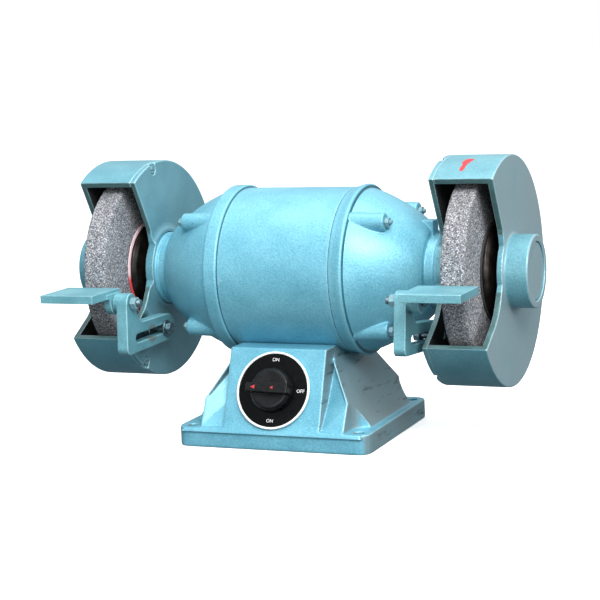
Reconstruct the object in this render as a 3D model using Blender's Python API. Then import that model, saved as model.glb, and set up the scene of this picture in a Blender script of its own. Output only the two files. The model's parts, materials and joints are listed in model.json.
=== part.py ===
"""Twin-wheel bench grinder, 200 mm wheels. Metres, +Z up. X runs along the spindle, -Y is the
operator's side, and the origin is on the bench under the middle of the spindle."""
from math import atan2, cos, pi, radians, sin

import bmesh
import bpy
from mathutils import Matrix, Vector

# ---- driving dimensions -------------------------------------------------------------------
SPINDLE_HEIGHT = 0.168
GAP = 0.0003                   # between pieces that touch
LARGE, FINE, MEDIUM, COARSE = 56, 32, 28, 14   # segments round turned pieces, by size

SHELL_HALF = 0.0600            # motor shell, half its length
SHELL_RADIUS, SHELL_BORE = 0.0845, 0.0785
RIM_RADIUS, RIM_END = 0.0875, 0.0751
DOME_ROOT, DOME_SWELL, DOME_LENGTH = 0.0400, 0.0432, 0.0680
DOME_LEAN, DOME_BLUNT = 1.2, 0.75
NECK_RADIUS, NECK_START, NECK_END = 0.0362, 0.1424, 0.1590
NECK_RING_START, NECK_RING_RADIUS, NECK_GROOVE = 0.1530, 0.0380, 0.0015
SPIGOT_RADIUS, SPIGOT_END = 0.0300, 0.1645
BELL_WALL = 0.006
OIL_LUG_START, OIL_LUG_END, OIL_LUG_TOP, OIL_LUG_HALF = 0.1200, 0.1450, 0.0510, 0.0085
TIE_CIRCLE, TIE_RADIUS = 0.0742, 0.0030
TIE_BOSS_RADIUS, TIE_BOSS_END = 0.0080, 0.1105
TIE_ANGLES = (47, 133, 227, 313)
TIE_HEX, TIE_HEX_END, TIE_END = 0.0085, 0.1152, 0.1180
SADDLE_BOLT_PLACES, SADDLE_BOLT_RADIUS, SADDLE_BOLT_HOLE = (-0.0200, 0.0120), 0.0040, 0.0043

BEARING_BORE, BEARING_OUTSIDE, BEARING_WIDTH = 0.0125, 0.0260, 0.015
BEARING_START = 0.1305
SHAFT_RADIUS, WHEEL_SEAT_RADIUS = 0.0125, 0.0100
ROTOR_RADIUS, STATOR_BORE, STATOR_RADIUS = 0.0440, 0.0446, 0.0780
CORE_HALF = 0.0430

WHEEL_RADIUS, WHEEL_START, WHEEL_END = 0.1000, 0.1806, 0.2048
FLANGE_RADIUS, BLOTTER_RADIUS = 0.0470, 0.0500

GUARD_RADIUS, GUARD_WALL = 0.1150, 0.006
PLATE_START, PLATE_END = 0.1593, 0.1648
COLLAR_START, COLLAR_BORE, COLLAR_RADIUS, COLLAR_FOOT = 0.1556, 0.0386, 0.0418, 0.0480
GUARD_END, HUB_END = 0.2242, 0.2481
HUB_RADIUS, HUB_BORE, PLUG_RADIUS = 0.0365, 0.0260, 0.0287
MOUTH_RING = 0.0405
MOUTH_TOP, MOUTH_TOP_INNER = (-0.0620, 0.0965), (-0.0310, 0.0410)
MOUTH_LOWER = ((-0.0435, -0.0200), (-0.0520, -0.0310), (-0.0660, -0.0440), (-0.0970, -0.0615))
GUARD_SCREW_ANGLES = (100.5, 237.5, 345)
GUARD_SCREW_CIRCLE = 0.1080
SCREW_RADIUS, SCREW_HOLE = 0.0021, 0.0024
SCREW_HEAD_RADIUS, SCREW_HEAD_START, SCREW_HEAD_END = 0.0044, 0.0003, 0.0032   # in the plate

BRACKET_START, BRACKET_END = 0.1420, 0.1540
PIVOT = (-0.1160, -0.0200)     # table pivot, Y and Z from the spindle
PIVOT_BOSS_RADIUS, PIVOT_BOSS_END = 0.0100, 0.1584
CLAMP = (-0.0450, -0.0580)     # clamp bolt in the bracket's slot, Y and Z from the spindle
SLOT_FRONT, SLOT_BACK, SLOT_HALF = -0.1060, -0.0360, 0.0045
BOLT_RADIUS, BOLT_HOLE = 0.0038, 0.0042
RIGHT_SWING = radians(5.5)     # the right rest is clamped with its front this much higher

TABLE_START, TABLE_END = 0.1600, 0.2195
TABLE_BACK, TABLE_FRONT = -0.1065, -0.1625
TABLE_TOP, TABLE_THICK = -0.0065, 0.008
LUG_START, LUG_END, LUG_RADIUS = 0.1588, 0.1668, 0.0120

BASE_HALF, BASE_FRONT, BASE_BACK = 0.1037, -0.1069, 0.0761
FLANGE_TOP, PEDESTAL_TOP = 0.0200, 0.0980
BASE_CORNER = 0.012
FRONT_SLOPE, BOX_SLOPE, BACK_SLOPE = 0.628, 0.396, 0.600
BOX_HALF = 0.0525
POCKET_INNER, POCKET_BACK, POCKET_CORNER = 0.0780, -0.0720, 0.018
HOLE_X, HOLE_Y, HOLE_RADIUS = 0.0905, -0.0940, 0.00575
PANEL_HEIGHT = 0.0580          # centre of the switch above the bench
PANEL_RADIUS, PANEL_RIM = 0.0394, 0.0022
KNOB_RADIUS = 0.0225


# ---- scene and materials ------------------------------------------------------------------
def clear_scene():
    for obj in list(bpy.data.objects):
        bpy.data.objects.remove(obj)


def material(name, colour, roughness, metallic=0.0):
    made = bpy.data.materials.new(name)
    made.use_nodes = True
    shader = made.node_tree.nodes["Principled BSDF"]
    shader.inputs["Base Color"].default_value = (*colour, 1.0)
    shader.inputs["Roughness"].default_value = roughness
    shader.inputs["Metallic"].default_value = metallic
    return made


# ---- shapes -------------------------------------------------------------------------------
def finish_object(name, mesh, look, place=(0, 0, SPINDLE_HEIGHT), turn=0.0):
    """Closes a bmesh into an object with outward faces, at a place, turned about X."""
    bmesh.ops.recalc_face_normals(mesh, faces=mesh.faces)
    data = bpy.data.meshes.new(name)
    mesh.to_mesh(data)
    mesh.free()
    data.shade_smooth()
    data.set_sharp_from_angle(angle=radians(32))
    data.materials.append(look)
    obj = bpy.data.objects.new(name, data)
    bpy.context.scene.collection.objects.link(obj)
    obj.location = place
    obj.rotation_euler = (turn, 0, 0)
    return obj


def turned(profile, steps, side=1, centre=(0.0, 0.0)):
    """A ring swept from a closed profile of (x, radius) round an axis along X."""
    mesh = bmesh.new()
    rings = []
    for x, radius in profile:
        if radius == 0:
            rings.append([mesh.verts.new((side * x, *centre))] * steps)
            continue
        rings.append([mesh.verts.new((side * x, centre[0] + radius * cos(2 * pi * i / steps),
                                      centre[1] + radius * sin(2 * pi * i / steps)))
                      for i in range(steps)])
    for first, second in zip(rings, rings[1:] + rings[:1]):
        for i in range(steps):
            j = (i + 1) % steps
            corners = list(dict.fromkeys((first[i], first[j], second[j], second[i])))
            if len(corners) > 2:
                mesh.faces.new(corners)
    return mesh


def prism(outline, start, end, axis="X"):
    """An outline carried along an axis. It is (y, z) for X, (x, z) for Y and (x, y) for Z."""
    place = {"X": lambda t, u, v: (t, u, v), "Y": lambda t, u, v: (u, t, v),
             "Z": lambda t, u, v: (u, v, t)}[axis]
    mesh = bmesh.new()
    ends = [[mesh.verts.new(place(t, u, v)) for u, v in outline] for t in (start, end)]
    for ring in ends:
        mesh.faces.new(ring)
    for i in range(len(outline)):
        j = (i + 1) % len(outline)
        mesh.faces.new((ends[0][i], ends[0][j], ends[1][j], ends[1][i]))
    return mesh


def lofted(sections):
    """A closed skin over outlines of equal count, each a list of (x, y, z)."""
    mesh = bmesh.new()
    rings = [[mesh.verts.new(point) for point in section] for section in sections]
    mesh.faces.new(rings[0])
    mesh.faces.new(rings[-1])
    for low, high in zip(rings, rings[1:]):
        for i in range(len(low)):
            j = (i + 1) % len(low)
            mesh.faces.new((low[i], low[j], high[j], high[i]))
    return mesh


def arc(centre, radius, start, end, steps):
    """Points on a circle, angles in degrees from +first axis."""
    return [(centre[0] + radius * cos(radians(start + (end - start) * i / steps)),
             centre[1] + radius * sin(radians(start + (end - start) * i / steps)))
            for i in range(steps + 1)]


def rod(start, end, radius, centre=(0.0, 0.0), steps=COARSE, side=1):
    return turned([(start, 0), (start, radius), (end, radius), (end, 0)], steps, side, centre)


def hexagon(start, end, across_flats, centre=(0.0, 0.0), side=1):
    return rod(start, end, across_flats / 2 / cos(pi / 6), centre, 6, side)


def slab(low, high):
    """A plain block between two corners."""
    outline = [(low[0], low[1]), (high[0], low[1]), (high[0], high[1]), (low[0], high[1])]
    return prism(outline, low[2], high[2], "Z")


def rounded_rectangle(left, right, front, back, radius, steps=4):
    return (arc((right - radius, front + radius), radius, -90, 0, steps)
            + arc((right - radius, back - radius), radius, 0, 90, steps)
            + arc((left + radius, back - radius), radius, 90, 180, steps)
            + arc((left + radius, front + radius), radius, 180, 270, steps))


def boolean(obj, mesh, operation="DIFFERENCE"):
    """Cuts a closed bmesh out of an object, or joins it on, and keeps the modifier."""
    tool = finish_object(f"{obj.name}_tool_{len(obj.modifiers)}", mesh, obj.active_material,
                         obj.location, obj.rotation_euler.x)
    tool.hide_render = True
    tool.display_type = "WIRE"
    tool.parent = obj
    tool.matrix_parent_inverse = Matrix.LocRotScale(
        obj.location, obj.rotation_euler, None).inverted()
    change = obj.modifiers.new(f"{operation.lower()}_{len(obj.modifiers)}", "BOOLEAN")
    change.operation = operation
    change.solver = "EXACT"
    change.object = tool


def ring_points(count_angles, radius):
    return [(radius * cos(radians(a)), radius * sin(radians(a))) for a in count_angles]


# ---- base ---------------------------------------------------------------------------------
def flare_half(height):
    """Half-width of the pedestal at a height above the flange, in metres."""
    lift = height * 1000
    return (95.5 - 0.66 * lift + 0.0008 * lift ** 2) / 1000


def pedestal_sections(levels):
    sections = []
    for height in levels:
        half = flare_half(height)
        front = BASE_FRONT + FRONT_SLOPE * height
        back = BASE_BACK - 0.002 - BACK_SLOPE * height
        z = FLANGE_TOP + height
        sections.append([(-half, front, z), (half, front, z), (half, back, z), (-half, back, z)])
    return sections


def base_pocket(x_side, y_side):
    """The notch over one bolt hole. y_side is -1 at the front and 1 at the back."""
    back = POCKET_BACK if y_side < 0 else 0.0450
    corner = (POCKET_INNER + POCKET_CORNER, back + y_side * POCKET_CORNER)
    bend = arc(corner, POCKET_CORNER, 90 if y_side < 0 else 270, 180, 5)
    outer = y_side * 0.140
    outline = [(0.125, outer), (0.125, back)] + bend + [(POCKET_INNER, outer)]
    return prism([(x_side * x, y) for x, y in outline], FLANGE_TOP, 0.090, "Z")


def make_base(paint, steel, tin):
    casting = finish_object(
        "base_casting",
        prism(rounded_rectangle(-BASE_HALF, BASE_HALF, BASE_FRONT, BASE_BACK, BASE_CORNER),
              0.0, FLANGE_TOP, "Z"), paint, (0, 0, 0))
    levels = [-0.004, 0.012, 0.026, 0.044, 0.062, PEDESTAL_TOP - FLANGE_TOP]
    boolean(casting, lofted(pedestal_sections(levels)), "UNION")

    rise = PEDESTAL_TOP - FLANGE_TOP
    front_top = BASE_FRONT + BOX_SLOPE * rise
    box = [(BASE_FRONT - BOX_SLOPE * 0.004 + 0.0016, FLANGE_TOP - 0.004),
           (front_top, PEDESTAL_TOP), (-0.030, PEDESTAL_TOP), (-0.030, FLANGE_TOP - 0.004)]
    boolean(casting, prism(box, -BOX_HALF, BOX_HALF), "UNION")
    for x_side in (-1, 1):
        for y_side in (-1, 1):
            boolean(casting, base_pocket(x_side, y_side))

    # hollow: the tapered room under the saddle, then the room behind the switch panel
    room = [[(-0.070, -0.086, -0.001), (0.070, -0.086, -0.001), (0.070, 0.056, -0.001),
             (-0.070, 0.056, -0.001)],
            [(-0.051, -0.063, 0.074), (0.051, -0.063, 0.074), (0.051, 0.030, 0.074),
             (-0.051, 0.030, 0.074)]]
    boolean(casting, lofted(room))
    panel_room = [(-0.1020, 0.010), (-0.1020 + BOX_SLOPE * 0.076, 0.086), (-0.058, 0.086),
                  (-0.050, 0.072), (-0.050, 0.010)]
    boolean(casting, prism(panel_room, -0.0455, 0.0455))
    cover_room = rounded_rectangle(-0.088, 0.088, -0.0975, 0.0675, 0.010)
    boolean(casting, prism(cover_room, -0.001, 0.0023, "Z"))

    # the saddle under the motor, and the bolts' and switch's holes
    boolean(casting, turned([(-0.12, 0), (-0.12, SHELL_RADIUS + GAP), (0.12, SHELL_RADIUS + GAP),
                             (0.12, 0)], LARGE, 1, (0.0, SPINDLE_HEIGHT)))
    for side in (-1, 1):
        boolean(casting, turned([(RIM_END - 0.0155, 0), (RIM_END - 0.0155, RIM_RADIUS + 0.001),
                                 (0.12, RIM_RADIUS + 0.001), (0.12, 0)],
                                LARGE, side, (0.0, SPINDLE_HEIGHT)))
    for x, y in base_hole_places():
        boolean(casting, prism(arc((x, y), HOLE_RADIUS, 0, 345, 23), -0.002, 0.030, "Z"))
    for y in SADDLE_BOLT_PLACES:
        boolean(casting, prism(arc((0, y), SADDLE_BOLT_HOLE, 0, 345, 15), 0.060, 0.110, "Z"))
    boolean(casting, panel_mesh([(0.010, 0), (0.010, 0.0120), (-0.030, 0.0120), (-0.030, 0)]))
    boolean(casting, rod_along_y(0.030, 0.095, 0.0084, (0.040, 0.034)))

    cover = rounded_rectangle(-0.0877, 0.0877, -0.0972, 0.0672, 0.0097)
    finish_object("bottom_cover", prism(cover, 0.0, 0.0020, "Z"), tin, (0, 0, 0))

    for word, y in zip(("front", "back"), SADDLE_BOLT_PLACES):
        shank = prism(arc((0, y), SADDLE_BOLT_RADIUS, 0, 345, 15), 0.0660, 0.0875, "Z")
        bolt = finish_object(f"saddle_bolt_{word}", shank, steel, (0, 0, 0))
        boolean(bolt, prism(arc((0, y), 0.0075, 0, 300, 5), 0.0680, 0.0735, "Z"), "UNION")


def base_hole_places():
    back = 0.0630
    return [(x_side * HOLE_X, y) for x_side in (-1, 1) for y in (HOLE_Y, back)]


def rod_along_y(start, end, radius, centre, steps=COARSE):
    return prism(arc(centre, radius, 0, 360 - 360 / steps, steps - 1), start, end, "Y")


# ---- switch on the sloping panel ----------------------------------------------------------
PANEL_TILT = atan2(BOX_SLOPE, 1.0)
PANEL_NORMAL = Vector((0, -cos(PANEL_TILT), sin(PANEL_TILT)))
PANEL_UP = Vector((0, sin(PANEL_TILT), cos(PANEL_TILT)))
PANEL_CENTRE = Vector((0, BASE_FRONT + BOX_SLOPE * (PANEL_HEIGHT - FLANGE_TOP), PANEL_HEIGHT))


def to_panel(mesh):
    """Moves a mesh made about X, with +X outwards and +Z up, on to the switch panel."""
    frame = Matrix((PANEL_NORMAL, Vector((1, 0, 0)), PANEL_UP)).transposed().to_4x4()
    bmesh.ops.transform(mesh, matrix=frame, verts=mesh.verts)
    return mesh


def panel_mesh(profile, steps=FINE):
    mesh = to_panel(turned(profile, steps))
    bmesh.ops.translate(mesh, vec=PANEL_CENTRE, verts=mesh.verts)
    return mesh


def make_switch(black, white, bakelite, tin, nylon):
    rim = PANEL_RADIUS - PANEL_RIM
    finish_object("switch_rim", to_panel(turned(
        [(GAP, PANEL_RADIUS), (0.0026, PANEL_RADIUS), (0.0030, PANEL_RADIUS - 0.0006),
         (0.0030, rim), (GAP, rim)], FINE)), white, PANEL_CENTRE)
    finish_object("switch_plate", to_panel(turned(
        [(GAP, rim - GAP), (0.0022, rim - GAP), (0.0022, 0.0056), (GAP, 0.0056)], FINE)),
        black, PANEL_CENTRE)

    knob = finish_object("switch_knob", to_panel(turned(
        [(0.0028, 0), (0.0028, KNOB_RADIUS), (0.0122, KNOB_RADIUS - 0.0012),
         (0.0134, KNOB_RADIUS - 0.0028), (0.0110, 0)], FINE)), bakelite, PANEL_CENTRE)
    grip = rounded_rectangle(-0.0215, 0.0215, -0.0052, 0.0052, 0.0030, 3)
    boolean(knob, to_panel(prism(grip, 0.006, 0.0208)), "UNION")

    finish_object("switch_stem", to_panel(rod(-0.0120, 0.0025, 0.0050)), tin, PANEL_CENTRE)
    body = finish_object("switch_body", to_panel(slab((-0.0420, -0.0180, -0.0180),
                                                      (-0.0123, 0.0180, 0.0180))),
                         nylon, PANEL_CENTRE)
    boolean(body, to_panel(turned([(-0.0130, 0.0054), (-0.0130, 0.0110), (-0.0010, 0.0110),
                                   (-0.0010, 0.0054)], COARSE)), "UNION")


def make_electrics(nylon, tin, black):
    finish_object("run_capacitor", rod(-0.030, 0.030, 0.0150), tin, (0.0, 0.010, 0.0265))
    block = finish_object("terminal_block", slab((-0.022, -0.007, 0.0), (0.022, 0.007, 0.011)),
                          nylon, (0.0, -0.036, 0.0026))
    for index in range(4):
        x = -0.0165 + 0.011 * index
        boolean(block, slab((x - 0.0025, -0.0035, 0.006), (x + 0.0025, 0.0035, 0.013)))
    gland = finish_object("cable_gland", rod_along_y(0.0250, 0.0800, 0.0080, (0.0, 0.0)), black,
                          (0.040, 0.0, 0.034))
    boolean(gland, prism(arc((0, 0), 0.0125, 0, 300, 5), 0.0752, 0.0860, "Y"), "UNION")
    boolean(gland, rod_along_y(0.0200, 0.0900, 0.0045, (0.0, 0.0)))


# ---- motor --------------------------------------------------------------------------------
def dome_radius(x):
    share = (x - RIM_END) / DOME_LENGTH
    return DOME_ROOT + DOME_SWELL * max(0.0, 1 - share ** DOME_LEAN) ** DOME_BLUNT


def make_shell(paint):
    shell = finish_object("motor_shell", turned(
        [(-SHELL_HALF, SHELL_RADIUS), (SHELL_HALF, SHELL_RADIUS), (SHELL_HALF, SHELL_BORE),
         (-SHELL_HALF, SHELL_BORE)], LARGE), paint)
    for y in SADDLE_BOLT_PLACES:
        hole = arc((0, y), SADDLE_BOLT_HOLE, 0, 345, 15)
        boolean(shell, prism(hole, -SHELL_RADIUS - 0.004, -SHELL_BORE + 0.004, "Z"))


def rim_profile(side):
    """The bell's rim over the shell's end. The right one swells out of the shell's line."""
    start = SHELL_HALF + GAP
    if side < 0:
        swell = [(start, RIM_RADIUS - 0.0010), (start + 0.0010, RIM_RADIUS)]
    else:
        swell = [(start, SHELL_RADIUS + 0.0002), (0.0645, SHELL_RADIUS + 0.0006),
                 (0.0685, SHELL_RADIUS + 0.0018), (0.0720, RIM_RADIUS)]
    return swell + [(RIM_END - 0.0010, RIM_RADIUS), (RIM_END, RIM_RADIUS - 0.0010)]


def make_bell(side, paint):
    name = "left_end_bell" if side < 0 else "right_end_bell"
    stations = [0.0751, 0.0870, 0.0990, 0.1110, 0.1220, 0.1310, 0.1375, 0.1410, NECK_START]
    outside = [(x, dome_radius(x)) for x in stations]
    inside = [(x, dome_radius(x) - BELL_WALL) for x in reversed(stations[1:6:2])]
    groove = NECK_RING_START - 0.0010
    neck = [(NECK_START, NECK_RADIUS), (groove, NECK_RADIUS), (groove, NECK_RADIUS - NECK_GROOVE),
            (NECK_RING_START, NECK_RADIUS - NECK_GROOVE), (NECK_RING_START, NECK_RING_RADIUS),
            (NECK_END - 0.0008, NECK_RING_RADIUS), (NECK_END, NECK_RING_RADIUS - 0.0008),
            (NECK_END, SPIGOT_RADIUS), (SPIGOT_END, SPIGOT_RADIUS)]
    seat = [(SPIGOT_END, 0.0140), (0.1465, 0.0140), (0.1465, BEARING_OUTSIDE + GAP),
            (BEARING_START - 0.0010, BEARING_OUTSIDE + GAP), (BEARING_START - 0.0010, 0.0310),
            (0.1365, 0.0330)]
    mouth = [(RIM_END - 0.003, SHELL_BORE - 0.0005), (SHELL_HALF + GAP, SHELL_BORE)]
    profile = rim_profile(side) + outside + neck + seat + inside + mouth
    bell = finish_object(name, turned(profile, FINE, side), paint)
    for y, z in ring_points(TIE_ANGLES, TIE_CIRCLE):
        boss = [(SHELL_HALF + GAP, 0), (SHELL_HALF + GAP, TIE_BOSS_RADIUS),
                (TIE_BOSS_END - 0.0008, TIE_BOSS_RADIUS),
                (TIE_BOSS_END, TIE_BOSS_RADIUS - 0.0008), (TIE_BOSS_END, 0)]
        boolean(bell, turned(boss, COARSE, side, (y, z)), "UNION")
    if side > 0:
        # the oiler's lug, across the top of the neck
        lug = [(-OIL_LUG_HALF, NECK_RADIUS - 0.006), (OIL_LUG_HALF, NECK_RADIUS - 0.006),
               (OIL_LUG_HALF, OIL_LUG_TOP), (-OIL_LUG_HALF, OIL_LUG_TOP)]
        boolean(bell, prism(lug, OIL_LUG_START, OIL_LUG_END), "UNION")
    for y, z in ring_points(TIE_ANGLES, TIE_CIRCLE):
        boolean(bell, rod(0.050, 0.120, TIE_RADIUS + GAP, (y, z), 16, side))


def make_tie_bolts(steel):
    names = ("back_top", "front_top", "front_bottom", "back_bottom")
    for name, centre in zip(names, ring_points(TIE_ANGLES, TIE_CIRCLE)):
        bolt = finish_object(f"tie_bolt_{name}", rod(-TIE_END, TIE_END, TIE_RADIUS, centre, 16),
                             steel)
        for side in (-1, 1):
            nut = hexagon(TIE_BOSS_END + GAP, TIE_HEX_END, TIE_HEX, centre, side)
            boolean(bolt, nut, "UNION")


def make_windings(steel, copper):
    core = finish_object("stator_core", turned(
        [(-CORE_HALF, STATOR_RADIUS), (CORE_HALF, STATOR_RADIUS), (CORE_HALF, STATOR_BORE),
         (-CORE_HALF, STATOR_BORE)], FINE), steel)
    for centre in ring_points(TIE_ANGLES, TIE_CIRCLE):
        boolean(core, rod(-0.060, 0.060, TIE_RADIUS + 0.0010, centre, 16))
    for side, name in ((-1, "left_coil_end"), (1, "right_coil_end")):
        profile = [(CORE_HALF + GAP, 0.0480), (CORE_HALF + GAP, 0.0660), (0.0560, 0.0665),
                   (0.0610, 0.0630), (0.0625, 0.0570), (0.0600, 0.0510)]
        finish_object(name, turned(profile, MEDIUM, side), copper)


def make_rotating(steel, iron):
    shoulder = 0.1696
    outline = [(0.1000, 0.0160), (0.1300, 0.0160), (0.1300, SHAFT_RADIUS),
               (shoulder, SHAFT_RADIUS), (shoulder, WHEEL_SEAT_RADIUS),
               (0.2322, WHEEL_SEAT_RADIUS), (0.2330, WHEEL_SEAT_RADIUS - 0.0008), (0.2330, 0)]
    mirrored = [(-x, radius) for x, radius in reversed(outline)]
    finish_object("spindle", turned(mirrored + outline, COARSE), steel)
    finish_object("rotor_core", turned(
        [(-CORE_HALF, ROTOR_RADIUS), (CORE_HALF, ROTOR_RADIUS), (CORE_HALF + 0.006, 0.0400),
         (CORE_HALF + 0.006, 0.0163), (-CORE_HALF - 0.006, 0.0163),
         (-CORE_HALF - 0.006, 0.0400)], FINE), iron)


def make_bearing(side, chrome):
    word = "left" if side < 0 else "right"
    end = BEARING_START + BEARING_WIDTH
    race = 0.0222
    finish_object(f"{word}_bearing_outer", turned(
        [(BEARING_START, BEARING_OUTSIDE), (end, BEARING_OUTSIDE), (end, race + 0.0003),
         (BEARING_START, race + 0.0003)], MEDIUM, side), chrome)
    finish_object(f"{word}_bearing_inner", turned(
        [(BEARING_START, race - 0.0030), (BEARING_START + 0.003, race - 0.0003),
         (end - 0.003, race - 0.0003), (end, race - 0.0030), (end, BEARING_BORE + GAP),
         (BEARING_START, BEARING_BORE + GAP)], MEDIUM, side), chrome)


# ---- wheels -------------------------------------------------------------------------------
def make_wheel(side, grit, dark_steel, paper, steel):
    word = "left" if side < 0 else "right"
    bore = WHEEL_SEAT_RADIUS + GAP

    def disc(name, start, end, radius, look, steps, inner=bore):
        finish_object(f"{word}_{name}", turned(
            [(start, radius), (end, radius), (end, inner), (start, inner)], steps, side), look)

    inner_start, outer_start = 0.1700, WHEEL_END + 0.0016
    disc("inner_flange", inner_start, WHEEL_START - 0.0016, FLANGE_RADIUS, dark_steel, MEDIUM)
    disc("inner_blotter", WHEEL_START - 0.0013, WHEEL_START - GAP, BLOTTER_RADIUS, paper,
         MEDIUM)
    finish_object(f"{word}_wheel", turned(
        [(WHEEL_START, WHEEL_RADIUS - 0.001), (WHEEL_START + 0.001, WHEEL_RADIUS),
         (WHEEL_END - 0.001, WHEEL_RADIUS), (WHEEL_END, WHEEL_RADIUS - 0.001),
         (WHEEL_END, bore), (WHEEL_START, bore)], LARGE, side), grit)
    disc("outer_blotter", WHEEL_END + GAP, WHEEL_END + 0.0013, BLOTTER_RADIUS, paper, MEDIUM)
    disc("outer_flange", outer_start, outer_start + 0.0090, FLANGE_RADIUS, dark_steel, MEDIUM)
    nut_start = outer_start + 0.0093
    nut = finish_object(f"{word}_spindle_nut", hexagon(nut_start, nut_start + 0.0120, 0.0300,
                                                       side=side), steel)
    boolean(nut, rod(nut_start - 0.01, nut_start + 0.02, bore, side=side))


# ---- guards -------------------------------------------------------------------------------
def mouth_cutter(side):
    """Everything in front of the wheel that the guard leaves open."""
    ring = arc((0, 0), MOUTH_RING, 140, 190, 7)
    top = Vector(MOUTH_TOP) * 1.4
    low = MOUTH_LOWER[-1]
    outline = ([tuple(top), MOUTH_TOP, MOUTH_TOP_INNER] + ring + list(MOUTH_LOWER)
               + [(low[0] - 0.05, low[1]), (-0.160, low[1]), (-0.160, top.y)])
    ends = sorted((side * (PLATE_START - 0.01), side * (GUARD_END + 0.01)))
    return prism(outline, *ends)


def make_guard(side, paint, steel):
    word = "left" if side < 0 else "right"
    inside = GUARD_RADIUS - GUARD_WALL
    shell = finish_object(f"{word}_guard_shell", turned(
        [(PLATE_END + GAP, GUARD_RADIUS), (GUARD_END - 0.0015, GUARD_RADIUS),
         (GUARD_END, GUARD_RADIUS - 0.0015), (GUARD_END, HUB_RADIUS), (HUB_END - 0.0010, HUB_RADIUS),
         (HUB_END, HUB_RADIUS - 0.0010), (HUB_END, PLUG_RADIUS + GAP),
         (HUB_END - 0.0050, PLUG_RADIUS + GAP), (HUB_END - 0.0050, HUB_BORE),
         (GUARD_END - GUARD_WALL, HUB_BORE), (GUARD_END - GUARD_WALL, inside),
         (PLATE_END + GAP, inside)], LARGE, side), paint)
    places = ring_points(GUARD_SCREW_ANGLES, GUARD_SCREW_CIRCLE)
    for place in places:
        boolean(shell, rod(PLATE_END + GAP, GUARD_END - 0.002, 0.0050, place, 16, side), "UNION")
    for place in places:
        hole = rod(PLATE_END - 0.002, PLATE_END + 0.016, SCREW_HOLE, place, 12, side)
        boolean(shell, hole)
    boolean(shell, mouth_cutter(side))

    plate = finish_object(f"{word}_guard_plate", turned(
        [(PLATE_START, GUARD_RADIUS - 0.001), (PLATE_START + 0.001, GUARD_RADIUS),
         (PLATE_END, GUARD_RADIUS), (PLATE_END, SPIGOT_RADIUS + GAP),
         (PLATE_START, SPIGOT_RADIUS + GAP), (PLATE_START, COLLAR_BORE),
         (COLLAR_START, COLLAR_BORE), (COLLAR_START, COLLAR_RADIUS),
         (COLLAR_START + 0.0016, COLLAR_RADIUS + 0.0018), (PLATE_START, COLLAR_FOOT)],
        LARGE, side), paint)
    for place in places:
        boolean(plate, rod(PLATE_START - 0.01, PLATE_END + 0.01, SCREW_HOLE, place, 12, side))
        recess = rod(PLATE_START - 0.01, PLATE_START + SCREW_HEAD_END + GAP,
                     SCREW_HEAD_RADIUS + 0.0008, place, 16, side)
        boolean(plate, recess)
    boolean(plate, mouth_cutter(side))
    boolean(plate, rod(BRACKET_END + GAP, PLATE_START + 0.003, 0.0140, CLAMP, COARSE, side),
            "UNION")
    boolean(plate, rod(BRACKET_START, PLATE_END + 0.01, BOLT_HOLE, CLAMP, 16, side))

    finish_object(f"{word}_hub_plug", turned(
        [(HUB_END - 0.0047, 0), (HUB_END - 0.0047, PLUG_RADIUS), (HUB_END - 0.0013, PLUG_RADIUS),
         (HUB_END - 0.0013, 0)], MEDIUM, side), paint)
    shank = rod(PLATE_START + 0.0020, PLATE_END + 0.0140, SCREW_RADIUS, places[0], 12, side)
    screw = finish_object(f"{word}_guard_screw", shank, steel)
    head = rod(PLATE_START + SCREW_HEAD_START, PLATE_START + SCREW_HEAD_END, SCREW_HEAD_RADIUS,
               places[0], 16, side)
    boolean(screw, head, "UNION")


# ---- tool rests ---------------------------------------------------------------------------
def swung(point, side):
    """A point of the rest, in Y and Z from the spindle, after the right rest's swing."""
    if side < 0:
        return point
    y, z = point[0] - CLAMP[0], point[1] - CLAMP[1]
    lift = -RIGHT_SWING
    return (CLAMP[0] + y * cos(lift) - z * sin(lift), CLAMP[1] + y * sin(lift) + z * cos(lift))


def bracket_outline():
    boss = arc(PIVOT, PIVOT_BOSS_RADIUS, 350, 540, 10)
    heel = arc((-0.1215, -0.0655), 0.0070, 180, 262, 4)
    tail = arc((-0.0380, -0.0575), 0.0140, 270, 450, 8)
    return ([(-0.1060, -0.0300), (-0.1020, -0.0375), (-0.0950, -0.0425)] + tail[::-1]
            + heel[::-1] + boss[::-1])


def place_rest(obj, side, about):
    """Puts a piece of the rest, drawn about a point, where its bracket holds it."""
    y, z = swung(about, side)
    obj.location = (0, y, SPINDLE_HEIGHT + z)


def about(outline, centre):
    return [(y - centre[0], z - centre[1]) for y, z in outline]


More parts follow.
